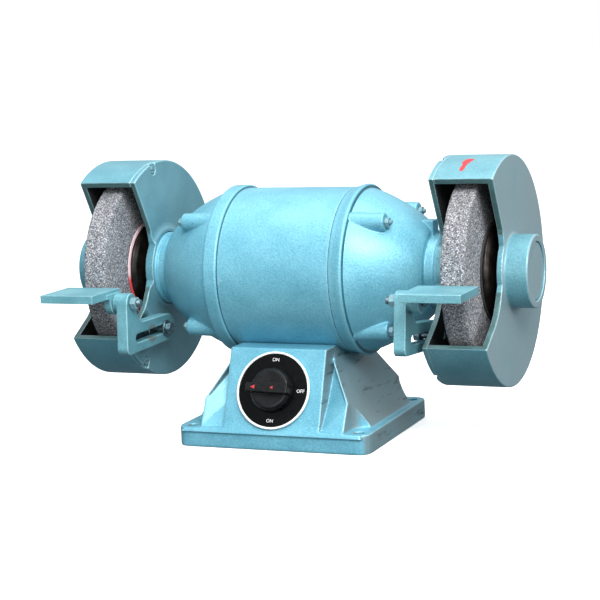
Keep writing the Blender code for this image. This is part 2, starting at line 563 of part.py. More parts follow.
def make_rest(side, paint, steel):
    word = "left" if side < 0 else "right"
    turn = 0.0 if side < 0 else -RIGHT_SWING
    span = sorted((side * BRACKET_START, side * BRACKET_END))
    pivot = (PIVOT[0] - CLAMP[0], PIVOT[1] - CLAMP[1])

    bracket = finish_object(f"{word}_rest_bracket", prism(about(bracket_outline(), CLAMP), *span),
                            paint, turn=turn)
    place_rest(bracket, side, CLAMP)
    boolean(bracket, rod(BRACKET_START - 0.0002, PIVOT_BOSS_END, PIVOT_BOSS_RADIUS, pivot, COARSE,
                         side), "UNION")
    slot = (arc((SLOT_BACK, CLAMP[1]), SLOT_HALF, -90, 90, 6)
            + arc((SLOT_FRONT, CLAMP[1]), SLOT_HALF, 90, 270, 6))
    ends = sorted((side * (BRACKET_START - 0.01), side * (BRACKET_END + 0.01)))
    boolean(bracket, prism(about(slot, CLAMP), *ends))
    boolean(bracket, rod(BRACKET_START - 0.01, PIVOT_BOSS_END + 0.01, BOLT_HOLE, pivot, 16, side))

    clamp = finish_object(f"{word}_clamp_bolt", rod(BRACKET_START - 0.0070, PLATE_END - 0.001,
                                                    BOLT_RADIUS, (0, 0), 16, side),
                          steel, turn=turn)
    place_rest(clamp, side, CLAMP)
    boolean(clamp, hexagon(BRACKET_START - 0.0080, BRACKET_START - 0.0024, 0.0130, side=side),
            "UNION")
    washer = finish_object(f"{word}_clamp_washer", turned(
        [(BRACKET_START - 0.0021, 0.0085), (BRACKET_START - GAP, 0.0085),
         (BRACKET_START - GAP, BOLT_RADIUS + GAP), (BRACKET_START - 0.0021, BOLT_RADIUS + GAP)],
        COARSE, side), steel, turn=turn)
    place_rest(washer, side, CLAMP)

    # the table stays level, so it is drawn about its own pivot
    plate = [(TABLE_FRONT, TABLE_TOP - TABLE_THICK), (TABLE_BACK, TABLE_TOP - TABLE_THICK),
             (TABLE_BACK, TABLE_TOP), (TABLE_FRONT, TABLE_TOP)]
    span = sorted((side * TABLE_START, side * TABLE_END))
    table = finish_object(f"{word}_rest_table", prism(about(plate, PIVOT), *span), paint)
    place_rest(table, side, PIVOT)
    lug = (arc((0, 0), LUG_RADIUS, 180, 360, 10)
           + [(LUG_RADIUS, 0.0040), (TABLE_BACK - PIVOT[0] - 0.0005, 0.0060),
              (TABLE_BACK - PIVOT[0] - 0.0005, 0.0100), (-0.0190, 0.0100), (-0.0190, 0.0058),
              (-0.0140, 0.0050)])
    ends = sorted((side * LUG_START, side * LUG_END))
    boolean(table, prism(lug, *ends), "UNION")
    boolean(table, rod(LUG_START - 0.01, LUG_END + 0.01, BOLT_HOLE, (0, 0), 16, side))

    bolt = finish_object(f"{word}_pivot_bolt", rod(BRACKET_START - 0.0115, LUG_END + 0.001,
                                                   BOLT_RADIUS, (0, 0), 16, side),
                         steel, turn=turn)
    place_rest(bolt, side, PIVOT)
    boolean(bolt, rod(LUG_END + GAP, LUG_END + 0.0045, 0.0050, (0, 0), 16, side), "UNION")
    nut = finish_object(f"{word}_pivot_nut", hexagon(BRACKET_START - 0.0073,
                                                     BRACKET_START - 0.0008, 0.0130, side=side),
                        steel, turn=turn)
    place_rest(nut, side, PIVOT)
    boolean(nut, rod(BRACKET_START - 0.02, BRACKET_START + 0.01, BOLT_RADIUS + GAP, (0, 0), 16,
                     side))


# ---- assembly -----------------------------------------------------------------------------
def main():
    clear_scene()
    paint = material("hammered_turquoise_paint", (0.11, 0.34, 0.42), 0.38, 0.35)
    grit = material("grey_aluminium_oxide", (0.27, 0.26, 0.27), 0.95)
    paper = material("red_blotter_paper", (0.62, 0.16, 0.17), 0.85)
    dark_steel = material("blackened_steel", (0.045, 0.038, 0.033), 0.45, 0.8)
    steel = material("zinc_plated_steel", (0.55, 0.58, 0.60), 0.32, 1.0)
    chrome = material("bearing_steel", (0.62, 0.63, 0.64), 0.18, 1.0)
    laminations = material("silicon_steel", (0.20, 0.20, 0.21), 0.5, 0.9)
    copper = material("enamelled_copper", (0.55, 0.22, 0.09), 0.35, 0.8)
    tin = material("bare_tinplate", (0.50, 0.50, 0.50), 0.4, 0.9)
    black = material("black_panel_lacquer", (0.012, 0.012, 0.013), 0.35)
    white = material("white_rim_enamel", (0.85, 0.85, 0.84), 0.4)
    bakelite = material("black_bakelite", (0.020, 0.021, 0.023), 0.3)
    nylon = material("white_nylon", (0.70, 0.69, 0.64), 0.5)

    make_base(paint, steel, tin)
    make_switch(black, white, bakelite, tin, nylon)
    make_electrics(nylon, tin, black)
    make_shell(paint)
    make_tie_bolts(steel)
    make_windings(laminations, copper)
    make_rotating(steel, laminations)
    for side in (-1, 1):
        make_bell(side, paint)
        make_bearing(side, chrome)
        make_wheel(side, grit, dark_steel, paper, steel)
        make_guard(side, paint, steel)
        make_rest(side, paint, steel)


main()
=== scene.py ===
"""The looks of a twin-wheel bench grinder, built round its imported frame. Metres, +Z up."""

import json
from math import cos, hypot, pi, radians, sin

import bmesh
import bpy
from mathutils import Matrix, Vector, noise


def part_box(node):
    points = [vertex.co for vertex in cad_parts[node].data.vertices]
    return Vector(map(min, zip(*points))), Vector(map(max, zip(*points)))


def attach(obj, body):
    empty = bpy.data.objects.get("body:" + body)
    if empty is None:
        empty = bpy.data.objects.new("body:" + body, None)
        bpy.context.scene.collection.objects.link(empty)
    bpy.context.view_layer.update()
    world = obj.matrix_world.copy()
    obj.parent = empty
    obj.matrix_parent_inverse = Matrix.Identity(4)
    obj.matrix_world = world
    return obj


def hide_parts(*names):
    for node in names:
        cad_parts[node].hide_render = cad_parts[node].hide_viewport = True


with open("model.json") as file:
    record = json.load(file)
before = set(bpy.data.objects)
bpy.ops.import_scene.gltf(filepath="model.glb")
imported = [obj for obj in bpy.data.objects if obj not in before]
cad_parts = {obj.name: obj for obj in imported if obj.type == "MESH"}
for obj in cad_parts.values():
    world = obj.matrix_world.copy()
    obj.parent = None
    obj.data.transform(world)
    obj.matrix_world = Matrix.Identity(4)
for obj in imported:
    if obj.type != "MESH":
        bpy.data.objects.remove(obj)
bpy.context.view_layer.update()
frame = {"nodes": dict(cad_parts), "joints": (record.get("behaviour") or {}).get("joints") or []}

MM = 0.001
SIDES = ((-1, "left"), (1, "right"))
JOINTS = {joint["name"]: joint for joint in frame["joints"]}
SPINDLE = Vector(JOINTS["spindle_spin"]["pos_m"])
CLAMP = Vector(JOINTS["right_rest_swing"]["pos_m"]) - SPINDLE
SWITCH = Vector(JOINTS["switch_turn"]["pos_m"])
SWITCH_OUT = Vector(JOINTS["switch_turn"]["axis"]).normalized()

# ---- sizes, read from the frame's own boxes ------------------------------------------------
SHELL_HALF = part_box("motor_shell")[1].x
SHELL_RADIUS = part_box("motor_shell")[1].y
RIM_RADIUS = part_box("right_end_bell")[1].y
BELL_START, SPIGOT_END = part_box("right_end_bell")[0].x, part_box("right_end_bell")[1].x
PLATE_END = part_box("right_guard_plate")[1].x
PLATE_START = PLATE_END - 5.5 * MM
PAD_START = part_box("right_guard_plate")[0].x
GUARD_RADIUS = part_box("right_guard_shell")[1].z - SPINDLE.z
SHELL_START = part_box("right_guard_shell")[0].x
HUB_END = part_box("right_guard_shell")[1].x
GUARD_END = HUB_END - 23.9 * MM
WHEEL_START, WHEEL_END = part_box("right_wheel")[0].x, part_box("right_wheel")[1].x
WHEEL_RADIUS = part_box("right_wheel")[1].z - SPINDLE.z
BRACKET_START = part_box("right_rest_bracket")[0].x + 0.2 * MM

# sizes that only this script needs
RIM_END, NECK_START, NECK_RADIUS, RIM_BEAD = 75.1 * MM, 142.4 * MM, 36.2 * MM, 1.2 * MM
DOME_ROOT, DOME_SWELL, DOME_LENGTH, DOME_WALL = 40.0 * MM, 43.2 * MM, 68.0 * MM, 6 * MM
TIE_CIRCLE, TIE_ANGLES, TIE_END = 74.2 * MM, (47, 133, 227, 313), 110.5 * MM
GUARD_WALL, HUB_RADIUS, HUB_BORE, PLUG_RADIUS = 6 * MM, 36.5 * MM, 26 * MM, 28.7 * MM
SCREW_ANGLES, SCREW_CIRCLE = (100.5, 237.5, 345), 108 * MM
SPIGOT_RADIUS = 30 * MM
MOUTH_TOP, MOUTH_THROAT = (-62.0 * MM, 96.5 * MM), (-33.0 * MM, 44.5 * MM)
MOUTH_LOW = (-97.0 * MM, -61.5 * MM)


# ---- nodes and colours ---------------------------------------------------------------------
def linear(code):
    """An sRGB hex colour as linear red, green, blue and alpha."""
    parts = [int(code[i:i + 2], 16) / 255 for i in (1, 3, 5)]
    return (*[c / 12.92 if c <= 0.04045 else ((c + 0.055) / 1.055) ** 2.4 for c in parts], 1.0)


def add(tree, kind, values=None, stops=None, **settings):
    """Adds a node with its settings, and its inputs as plain values or as links."""
    made = tree.nodes.new(kind)
    for key, value in settings.items():
        setattr(made, key, value)
    for key, value in (values or {}).items():
        if isinstance(value, bpy.types.NodeSocket):
            tree.links.new(value, made.inputs[key])
        else:
            made.inputs[key].default_value = value
    if stops:
        ramp = made.color_ramp.elements
        while len(ramp) < len(stops):
            ramp.new(0.5)
        for element, (place, colour) in zip(ramp, stops):
            element.position = place
            element.color = linear(colour)
    return made


def new_material(name, **shader):
    """A material, its node tree and its Principled shader, with constants on the shader."""
    material = bpy.data.materials.new(name)
    material.use_nodes = True
    tree = material.node_tree
    principled = tree.nodes["Principled BSDF"]
    for key, value in shader.items():
        principled.inputs[key.replace("_", " ")].default_value = value
    return material, tree, principled


def finish(tree, shader, colour, height, strength, depth_mm, roughness=None):
    """Gives a material its colour, its relief and, if it varies, its roughness."""
    tree.links.new(colour, shader.inputs["Base Color"])
    if roughness:
        tree.links.new(roughness, shader.inputs["Roughness"])
    bump = add(tree, "ShaderNodeBump", {"Strength": strength, "Distance": depth_mm * MM,
            "Height": height})
    tree.links.new(bump.outputs["Normal"], shader.inputs["Normal"])


def per(size_mm):
    """A texture scale whose pattern repeats about every so many millimetres."""
    return 1000.0 / size_mm


def painted_side_reflection(tree, at, shape_of, colour, side_reflection, side_reflection_amount):
    """Painted reflection: a patchy grey on the broad flat sides that face along the spindle,
    standing in for the grey surroundings they reflect.
    """
    facing = add(tree, "ShaderNodeSeparateXYZ", {"Vector": shape_of.outputs["Normal"]})
    across = add(tree, "ShaderNodeMath", {0: facing.outputs["X"]}, operation="ABSOLUTE")
    side_blotch = add(tree, "ShaderNodeTexNoise", {"Vector": at, "Scale": per(60), "Detail": 4.0})
    flat = add(tree, "ShaderNodeMapRange", {"Value": across.outputs[0], "From Min": 0.45,
            "From Max": 0.8, "To Min": 0.0, "To Max": side_reflection_amount})
    patchy = add(tree, "ShaderNodeMapRange", {"Value": side_blotch.outputs["Fac"], "From Min": 0.2,
            "From Max": 0.75, "To Min": 0.7, "To Max": 1.0})
    amount = add(tree, "ShaderNodeMath", {0: flat.outputs["Result"],
            1: patchy.outputs["Result"]}, operation="MULTIPLY")
    side_greyed = add(tree, "ShaderNodeMix", {0: amount.outputs[0], 6: colour, 7: linear(side_reflection)},
            data_type="RGBA")
    return side_greyed.outputs["Result"], amount.outputs[0]


def scratches(tree, at, colour, side_reflection, most):
    """Scratches to dark iron, stretched along the casting, only on the sides that take the
    painted grey reflection.
    """
    lines = add(tree, "ShaderNodeMapping", {"Vector": at, "Rotation": (0.5, 0.2, 0.3),
            "Scale": (1.0, 0.25, 1.6)})
    scratch = add(tree, "ShaderNodeTexNoise", {"Vector": lines.outputs["Vector"],
            "Scale": per(14), "Detail": 8.0, "Roughness": 0.7})
    bare = add(tree, "ShaderNodeMapRange", {"Value": scratch.outputs["Fac"], "From Min": 0.57,
            "From Max": 0.63, "To Min": 0.0, "To Max": 1.0})
    side_on = add(tree, "ShaderNodeMath", {0: bare.outputs["Result"], 1: side_reflection},
            operation="MULTIPLY")
    share = add(tree, "ShaderNodeMath", {0: side_on.outputs[0], 1: most}, operation="MULTIPLY")
    worn = add(tree, "ShaderNodeMix", {0: share.outputs[0], 6: colour, 7: linear("#23292a")},
            data_type="RGBA")
    return worn.outputs["Result"]


def rub_and_shade_patch(tree, at, grain, colour, place, radius, soft, code, most):
    """A round patch in another colour, with a ragged soft edge. It draws a washer's brown rub on
    the paint, and also a dark painted shadow.
    """
    away = add(tree, "ShaderNodeVectorMath", {0: at, 1: place}, operation="DISTANCE")
    ragged = add(tree, "ShaderNodeMath", {0: grain.outputs["Fac"], 1: -2 * MM,
            2: away.outputs["Value"]}, operation="MULTIPLY_ADD")
    inside = add(tree, "ShaderNodeMapRange", {"Value": ragged.outputs[0],
            "From Min": radius - soft, "From Max": radius, "To Min": most, "To Max": 0.0})
    rubbed = add(tree, "ShaderNodeMix", {0: inside.outputs["Result"], 6: colour,
            7: linear(code)}, data_type="RGBA")
    return rubbed.outputs["Result"]


def enamel(name, light, deep, side_reflection=None, side_reflection_amount=0.0, scratched=0.0, rubs_and_shade=(), edge=0.55):
    """Hammer-finish enamel sprayed thick on rough cast iron: a satin turquoise with metal flake
    in it, dimples that break up each highlight, a painted highlight in pale paint along the
    sharp edges, and here and there a pinhole."""
    material, tree, shader = new_material(name, Metallic=0.25, Coat_Weight=0.22,
                                          Coat_Roughness=0.30)
    at = add(tree, "ShaderNodeTexCoord").outputs["Object"]
    shape_of = add(tree, "ShaderNodeNewGeometry")
    cloud = add(tree, "ShaderNodeTexNoise", {"Vector": at, "Scale": per(34), "Detail": 3.0})
    tone = add(tree, "ShaderNodeValToRGB", {"Fac": cloud.outputs["Fac"]}, stops=((0.30, deep),
            (0.70, light)))
    # dimples and flake 1.4 to 2.4 mm apart, coarser than on the real paint, so that they show
    dimple = add(tree, "ShaderNodeTexVoronoi", {"Vector": at, "Scale": per(2.4)},
            feature="SMOOTH_F1")
    grain = add(tree, "ShaderNodeTexNoise", {"Vector": at, "Scale": per(1.4), "Detail": 1.0})
    shade = add(tree, "ShaderNodeMapRange", {"Value": grain.outputs["Fac"], "From Min": 0.34,
            "From Max": 0.66, "To Min": 0.86, "To Max": 1.10})
    toned = add(tree, "ShaderNodeMix", {6: tone.outputs["Color"], 7: shade.outputs["Result"],
            0: 1.0}, data_type="RGBA", blend_type="MULTIPLY")
    # pinholes about 12 mm apart
    pin = add(tree, "ShaderNodeTexVoronoi", {"Vector": at, "Scale": per(12)})
    hole = add(tree, "ShaderNodeMapRange", {"Value": pin.outputs["Distance"], "From Min": 0.035,
            "From Max": 0.06, "To Min": 0.7, "To Max": 0.0})
    holed = add(tree, "ShaderNodeMix", {0: hole.outputs["Result"], 6: toned.outputs["Result"],
            7: linear("#1f4553")}, data_type="RGBA")
    colour = holed.outputs["Result"]
    # the broad sides take a patchy painted grey reflection in place of the grey light they would
    # reflect
    if side_reflection:
        colour, amount = painted_side_reflection(tree, at, shape_of, colour, side_reflection, side_reflection_amount)
    # painted highlight: pale paint along sharp edges, where the light would catch them
    if edge:
        painted_edge_highlight = add(tree, "ShaderNodeMapRange", {"Value": shape_of.outputs["Pointiness"],
                "From Min": 0.515, "From Max": 0.56, "To Min": 0.0, "To Max": edge})
        thin = add(tree, "ShaderNodeMix", {0: painted_edge_highlight.outputs["Result"], 6: colour,
                7: linear("#bfe3ea")}, data_type="RGBA")
        colour = thin.outputs["Result"]
    if scratched:
        colour = scratches(tree, at, colour, amount, scratched)
    for patch in rubs_and_shade:
        colour = rub_and_shade_patch(tree, at, grain, colour, *patch)
    gloss = add(tree, "ShaderNodeMapRange", {"Value": grain.outputs["Fac"], "From Min": 0.3,
            "From Max": 0.7, "To Min": 0.36, "To Max": 0.52})
    height = add(tree, "ShaderNodeMix", {"Factor": 0.45, "A": dimple.outputs["Distance"],
            "B": grain.outputs["Fac"]})
    finish(tree, shader, colour, height.outputs["Result"], 0.55, 0.5, gloss.outputs["Result"])
    return material


def grimy_iron():
    """Bare grey iron inside the guards, black with grinding dust: almost no light comes back."""
    material, tree, shader = new_material("grimy_iron", Roughness=0.9)
    at = add(tree, "ShaderNodeTexCoord").outputs["Object"]
    soot = add(tree, "ShaderNodeTexNoise", {"Vector": at, "Scale": per(8), "Detail": 5.0})
    tone = add(tree, "ShaderNodeValToRGB", {"Fac": soot.outputs["Fac"]}, stops=((0.3, "#0b0c0d"),
            (0.75, "#1d1f20")))
    finish(tree, shader, tone.outputs["Color"], soot.outputs["Fac"], 0.4, 0.6)
    return material


def abrasive():
    """Vitrified grey aluminium oxide, 36 grit: pale, mid and near-black grains with a faint
    violet cast, each one catching the light on its own."""
    material, tree, shader = new_material("grey_aluminium_oxide", Roughness=0.92)
    at = add(tree, "ShaderNodeTexCoord").outputs["Object"]
    # grains of about 1.1 mm, twice the real grit, so that they show
    grit = add(tree, "ShaderNodeTexVoronoi", {"Vector": at, "Scale": per(1.1)})
    pick = add(tree, "ShaderNodeSeparateColor", {"Color": grit.outputs["Color"]})
    tone = add(tree, "ShaderNodeValToRGB", {"Fac": pick.outputs["Red"]}, stops=((0.0, "#3f4144"),
            (0.20, "#5f6166"), (0.48, "#777a7f"), (0.74, "#8f9297"), (0.92, "#abadb1"), (1.0,
            "#d2d3d5")))
    tint = add(tree, "ShaderNodeMix", {0: 0.10, 6: tone.outputs["Color"],
            7: grit.outputs["Color"]}, data_type="RGBA", blend_type="SOFT_LIGHT")
    # the working face is rubbed a little darker and browner in patches
    patch = add(tree, "ShaderNodeTexNoise", {"Vector": at, "Scale": per(45), "Detail": 2.0})
    rubbed = add(tree, "ShaderNodeMapRange", {"Value": patch.outputs["Fac"], "From Min": 0.4,
            "From Max": 0.8, "To Min": 0.0, "To Max": 0.4})
    worn = add(tree, "ShaderNodeMix", {0: rubbed.outputs["Result"], 6: tint.outputs["Result"],
            7: linear("#5e5854")}, data_type="RGBA")
    finish(tree, shader, worn.outputs["Result"], grit.outputs["Distance"], 0.55, 0.5)
    return material


def blotter_card():
    """Printed card washer glued to the wheel: soft matt pink above, red where the label is."""
    material, tree, shader = new_material("blotter_card", Roughness=0.85)
    at = add(tree, "ShaderNodeTexCoord").outputs["Object"]
    place = add(tree, "ShaderNodeSeparateXYZ", {"Vector": at})
    fibre = add(tree, "ShaderNodeTexNoise", {"Vector": at, "Scale": per(2.5), "Detail": 5.0})
    ragged = add(tree, "ShaderNodeMath", {0: fibre.outputs["Fac"], 1: 2 * MM,
            2: place.outputs["Z"]}, operation="MULTIPLY_ADD")
    band = add(tree, "ShaderNodeMapRange", {"Value": ragged.outputs[0],
            "From Min": SPINDLE.z - 6 * MM, "From Max": SPINDLE.z + 1 * MM})
    tone = add(tree, "ShaderNodeValToRGB", {"Fac": band.outputs["Result"]}, stops=((0.0,
            "#dc4a50"), (1.0, "#efcdd2")))
    mottle = add(tree, "ShaderNodeMix", {0: 0.25, 6: tone.outputs["Color"],
            7: fibre.outputs["Fac"]}, data_type="RGBA", blend_type="OVERLAY")
    finish(tree, shader, mottle.outputs["Result"], fibre.outputs["Fac"], 0.3, 0.1)
    return material


def turned_steel(name, light, dark, roughness, ring_mm=0.9, metallic=1.0):
    """Steel turned on a lathe: fine rings round the spindle that draw light out into streaks."""
    material, tree, shader = new_material(name, Metallic=metallic)
    at = add(tree, "ShaderNodeTexCoord").outputs["Object"]
    centred = add(tree, "ShaderNodeMapping", {"Vector": at, "Location": -SPINDLE})
    split = add(tree, "ShaderNodeSeparateXYZ", {"Vector": centred.outputs["Vector"]})
    flat = add(tree, "ShaderNodeCombineXYZ", {"Y": split.outputs["Y"], "Z": split.outputs["Z"]})
    away = add(tree, "ShaderNodeVectorMath", {0: flat.outputs["Vector"]}, operation="LENGTH")
    rings = add(tree, "ShaderNodeCombineXYZ", {"X": away.outputs["Value"],
            "Y": split.outputs["X"]})
    groove = add(tree, "ShaderNodeTexNoise", {"Vector": rings.outputs["Vector"],
            "Scale": per(ring_mm), "Detail": 2.0})
    stain = add(tree, "ShaderNodeTexNoise", {"Vector": at, "Scale": per(14), "Detail": 5.0})
    tone = add(tree, "ShaderNodeValToRGB", {"Fac": stain.outputs["Fac"]}, stops=((0.35, dark),
            (0.7, light)))
    rough = add(tree, "ShaderNodeMapRange", {"Value": groove.outputs["Fac"], "From Min": 0.3,
            "From Max": 0.7, "To Min": roughness - 0.08, "To Max": roughness + 0.12})
    finish(tree, shader, tone.outputs["Color"], groove.outputs["Fac"], 0.35, 0.15,
           rough.outputs["Result"])
    return material


def mottled(name, light, dark, roughness, size_mm, metallic=0.0, **shader_values):
    """A moulded, plated or rolled surface with a soft mottle and a slightly uneven gloss."""
    material, tree, shader = new_material(name, Metallic=metallic, **shader_values)
    at = add(tree, "ShaderNodeTexCoord").outputs["Object"]
    cloud = add(tree, "ShaderNodeTexNoise", {"Vector": at, "Scale": per(size_mm), "Detail": 6.0})
    tone = add(tree, "ShaderNodeValToRGB", {"Fac": cloud.outputs["Fac"]}, stops=((0.35, dark),
            (0.65, light)))
    rough = add(tree, "ShaderNodeMapRange", {"Value": cloud.outputs["Fac"], "From Min": 0.3,
            "From Max": 0.7, "To Min": roughness - 0.06, "To Max": roughness + 0.08})
    finish(tree, shader, tone.outputs["Color"], cloud.outputs["Fac"], 0.25, 0.05,
           rough.outputs["Result"])
    return material


def layered(name, light, dark, step_mm, axis, roughness, metallic):
    """Thin sheets or wires side by side: fine lines across the given direction."""
    material, tree, shader = new_material(name, Metallic=metallic, Roughness=roughness)
    at = add(tree, "ShaderNodeTexCoord").outputs["Object"]
    lines = add(tree, "ShaderNodeTexWave", {"Vector": at, "Scale": per(step_mm) / (2 * pi),
            "Distortion": 0.6, "Detail": 2.0}, bands_direction=axis)
    tone = add(tree, "ShaderNodeValToRGB", {"Fac": lines.outputs["Fac"]}, stops=((0.1, dark),
            (0.6, light)))
    finish(tree, shader, tone.outputs["Color"], lines.outputs["Fac"], 0.6, 0.3)
    return material


# the middle of the washer's rub on the left bracket, and of the painted shadow on the guard plate
# behind its slot
LEFT_SLOT = SPINDLE + Vector((-BRACKET_START, -75 * MM, -58 * MM))
LEFT_PAINTED_SHADE = SPINDLE + Vector((-PLATE_START, -66 * MM, -58 * MM))
MOTOR_PAINT = enamel("motor_hammer_enamel", "#77bacd", "#65aabf", edge=0.2)
# the fourth and fifth values: the colour of the painted grey reflection on the broad sides, and
# how much of it; the left guard takes less of it than the right
BASE_PAINT = enamel("base_hammer_enamel", "#74b8cd", "#62a8be", "#737f80", 0.9, 0.9)
# the left guard carries a dark painted shadow behind the bracket's slot, where the bracket shades
# the plate
LEFT_GUARD_PAINT = enamel("left_guard_hammer_enamel", "#69a4b2", "#5792a2", "#6e8c93", 0.4,
                          rubs_and_shade=((LEFT_PAINTED_SHADE, 24 * MM, 9 * MM, "#16262b", 0.9),))
RIGHT_GUARD_PAINT = enamel("right_guard_hammer_enamel", "#70a8b4", "#5e96a4", "#8c9ba0", 0.9)
# a darker enamel for the painted shade in the corners of the bells' steps
SHADOW_PAINT = enamel("dirt_stained_enamel", "#3d7482", "#2c5a68", edge=0.0)
MOUTH_PAINT = enamel("guard_mouth_enamel", "#557b7d", "#3f5e60", "#557073", 0.5)
REST_PAINT = enamel("rest_hammer_enamel", "#7ab5c0", "#5d99a6", "#4f7f89", 0.5, edge=0.8,
                    rubs_and_shade=((LEFT_SLOT, 10 * MM, 3 * MM, "#6b5a50", 0.6),))
GRIME = grimy_iron()
GRIT = abrasive()
CARD = blotter_card()
DARK_CARD = mottled("oil_soaked_card", "#3a3c3c", "#232425", 0.8, 4)
BLACK_STEEL = turned_steel("oil_blacked_steel", "#4a4340", "#2a2422", 0.36, metallic=0.9)
GROUND_STEEL = turned_steel("ground_steel", "#c9cccd", "#a9adaf", 0.26)
ZINC = mottled("dulled_zinc_plate", "#8fa5ad", "#566d75", 0.42, 3, metallic=0.9)
PAINTED_ZINC = enamel("overpainted_zinc", "#6d99a5", "#45707c", edge=0.3)
BEARING_STEEL = turned_steel("bearing_steel", "#dcdcdd", "#c6c7c8", 0.14, ring_mm=0.4)
LAMINATIONS = layered("varnished_laminations", "#77787a", "#3f4042", 0.9, "X", 0.5, 0.8)
WINDING = layered("enamelled_copper_wire", "#c5713a", "#6f3414", 1.1, "DIAGONAL", 0.32, 0.7)
TINPLATE = mottled("dull_tinplate", "#b9bcbd", "#8f9394", 0.42, 9, metallic=1.0)
NYLON = mottled("moulded_nylon", "#e2dfd4", "#d0ccbf", 0.5, 6)
LACQUER = mottled("black_panel_lacquer", "#050506", "#020203", 0.30, 5,
                  Specular_IOR_Level=0.15)
WHITE_ENAMEL = mottled("white_stove_enamel", "#f6f6f4", "#e4e5e4", 0.35, 4)
BAKELITE = mottled("black_bakelite", "#0f1011", "#070708", 0.30, 4, Specular_IOR_Level=0.35)
RED_PAINT = mottled("brushed_red_paint", "#d63a3c", "#a8282e", 0.5, 2)
WHITE_INK = mottled("white_screen_ink", "#f4f4f2", "#dededc", 0.55, 1.5)
GLAND_PLASTIC = mottled("black_gland_plastic", "#1a1a1b", "#101011", 0.55, 2)


# ---- shapes --------------------------------------------------------------------------------
def placed(name, data):
    """A new object in the scene. Its data is a mesh, a light, a camera or text."""
    made = bpy.data.objects.new(name, data)
    bpy.context.scene.collection.objects.link(made)
    return made


def painted(data, materials):
    """Puts a mesh's own materials in place of any that it has."""
    data.materials.clear()
    for material in materials:
        data.materials.append(material)


def to_object(name, mesh, materials, sharp=radians(40)):
    """Makes an object of a bmesh, facing outwards, and smooths what isn't a real edge."""
    bmesh.ops.recalc_face_normals(mesh, faces=mesh.faces)
    data = bpy.data.meshes.new(name)
    mesh.to_mesh(data)
    mesh.free()
    painted(data, materials)
    data.shade_smooth()
    data.set_sharp_from_angle(angle=sharp)
    return placed(name, data)


def to_bmesh(made):
    """Takes an object's mesh out of the scene, as a bmesh to join with others."""
    mesh = bmesh.new()
    mesh.from_mesh(made.data)
    bpy.data.objects.remove(made)
    return mesh


def lathe(profile, steps, side=1, centre=(0.0, 0.0)):
    """A solid of revolution from a closed profile of (x, radius), about a line along X that
    passes through centre, given as y and z from the spindle."""
    mesh = bmesh.new()
    rings = []
    for x, radius in profile:
        if radius == 0:
            point = (side * x, centre[0], SPINDLE.z + centre[1])
            rings.append([mesh.verts.new(point)] * steps)
            continue
        rings.append([mesh.verts.new((side * x, centre[0] + radius * cos(2 * pi * i / steps),
                                      SPINDLE.z + centre[1] + radius * sin(2 * pi * i / steps)))
                      for i in range(steps)])
    for first, second in zip(rings, rings[1:] + rings[:1]):
        for i in range(steps):
            j = (i + 1) % steps
            corners = list(dict.fromkeys((first[i], first[j], second[j], second[i])))
            if len(corners) > 2:
                mesh.faces.new(corners)
    return mesh


def rounded(profile, radius, steps=3):
    """A closed profile with each corner eased. Points on the axis stay as they are."""
    eased = []
    count = len(profile)
    for i, point in enumerate(profile):
        here = Vector(point)
        before, after = Vector(profile[i - 1]), Vector(profile[(i + 1) % count])
        if here.y == 0:
            eased.append(tuple(here))
            continue
        reach = min(radius, 0.45 * (before - here).length, 0.45 * (after - here).length)
        start = here + (before - here).normalized() * reach
        end = here + (after - here).normalized() * reach
        for k in range(steps + 1):
            t = k / steps
            eased.append(tuple(start * (1 - t) ** 2 + here * 2 * t * (1 - t) + end * t * t))
    return eased


def prism(outline, start, end):
    """An outline of (y, z) from the spindle, carried along X."""
    mesh = bmesh.new()
    ends = [[mesh.verts.new((x, y, SPINDLE.z + z)) for y, z in outline] for x in (start, end)]
    for ring in ends:
        mesh.faces.new(ring)
    for i in range(len(outline)):
        j = (i + 1) % len(outline)
        mesh.faces.new((ends[0][i], ends[0][j], ends[1][j], ends[1][i]))
    return mesh


def arc(centre, radius, start, end, steps):
    return [(centre[0] + radius * cos(radians(start + (end - start) * i / steps)),
             centre[1] + radius * sin(radians(start + (end - start) * i / steps)))
            for i in range(steps + 1)]


def rod(start, end, radius, centre=(0.0, 0.0), steps=40, side=1, ease=0.0):
    profile = [(start, 0), (start, radius), (end, radius), (end, 0)]
    return lathe(rounded(profile, ease) if ease else profile, steps, side, centre)


def evaluated(made):
    """Bakes an object's modifiers into its mesh."""
    graph = bpy.context.evaluated_depsgraph_get()
    data = bpy.data.meshes.new_from_object(made.evaluated_get(graph))
    made.modifiers.clear()
    made.data = data
    return made


def shape(made, mesh, operation="DIFFERENCE"):
    """Cuts a closed bmesh from an object, or joins it on, at once."""
    tool = to_object("tool", mesh, [])
    change = made.modifiers.new("shape", "BOOLEAN")
    change.operation = operation
    change.solver = "EXACT"
    change.object = tool
    evaluated(made)
    bpy.data.objects.remove(tool)
    return made


def cast(made, voxel, passes, keep=1.0):
    """Gives a sharp solid the eased edges and fillets of a painted casting."""
    materials = list(made.data.materials)
    skin = made.modifiers.new("skin", "REMESH")
    skin.mode = "VOXEL"
    skin.voxel_size = voxel
    ease = made.modifiers.new("ease", "SMOOTH")
    ease.factor = 0.5
    ease.iterations = passes
    if keep < 1.0:
        thin = made.modifiers.new("thin", "DECIMATE")
        thin.ratio = keep
    evaluated(made)
    painted(made.data, materials)
    made.data.shade_smooth()
    return made


def uneven(made, amount, size):
    """Moves each point a little along its normal, as sand casting or a broken grit does."""
    data = made.data
    normals = [vertex.normal.copy() for vertex in data.vertices]
    for vertex, normal in zip(data.vertices, normals):
        vertex.co += normal * amount * noise.noise(vertex.co / size)
    return made


def mirrored(made, name):
    """The same piece on the other side of the middle of the spindle."""
    data = made.data.copy()
    data.transform(Matrix.Scale(-1, 4, Vector((1, 0, 0))))
    data.flip_normals()
    return placed(name, data)


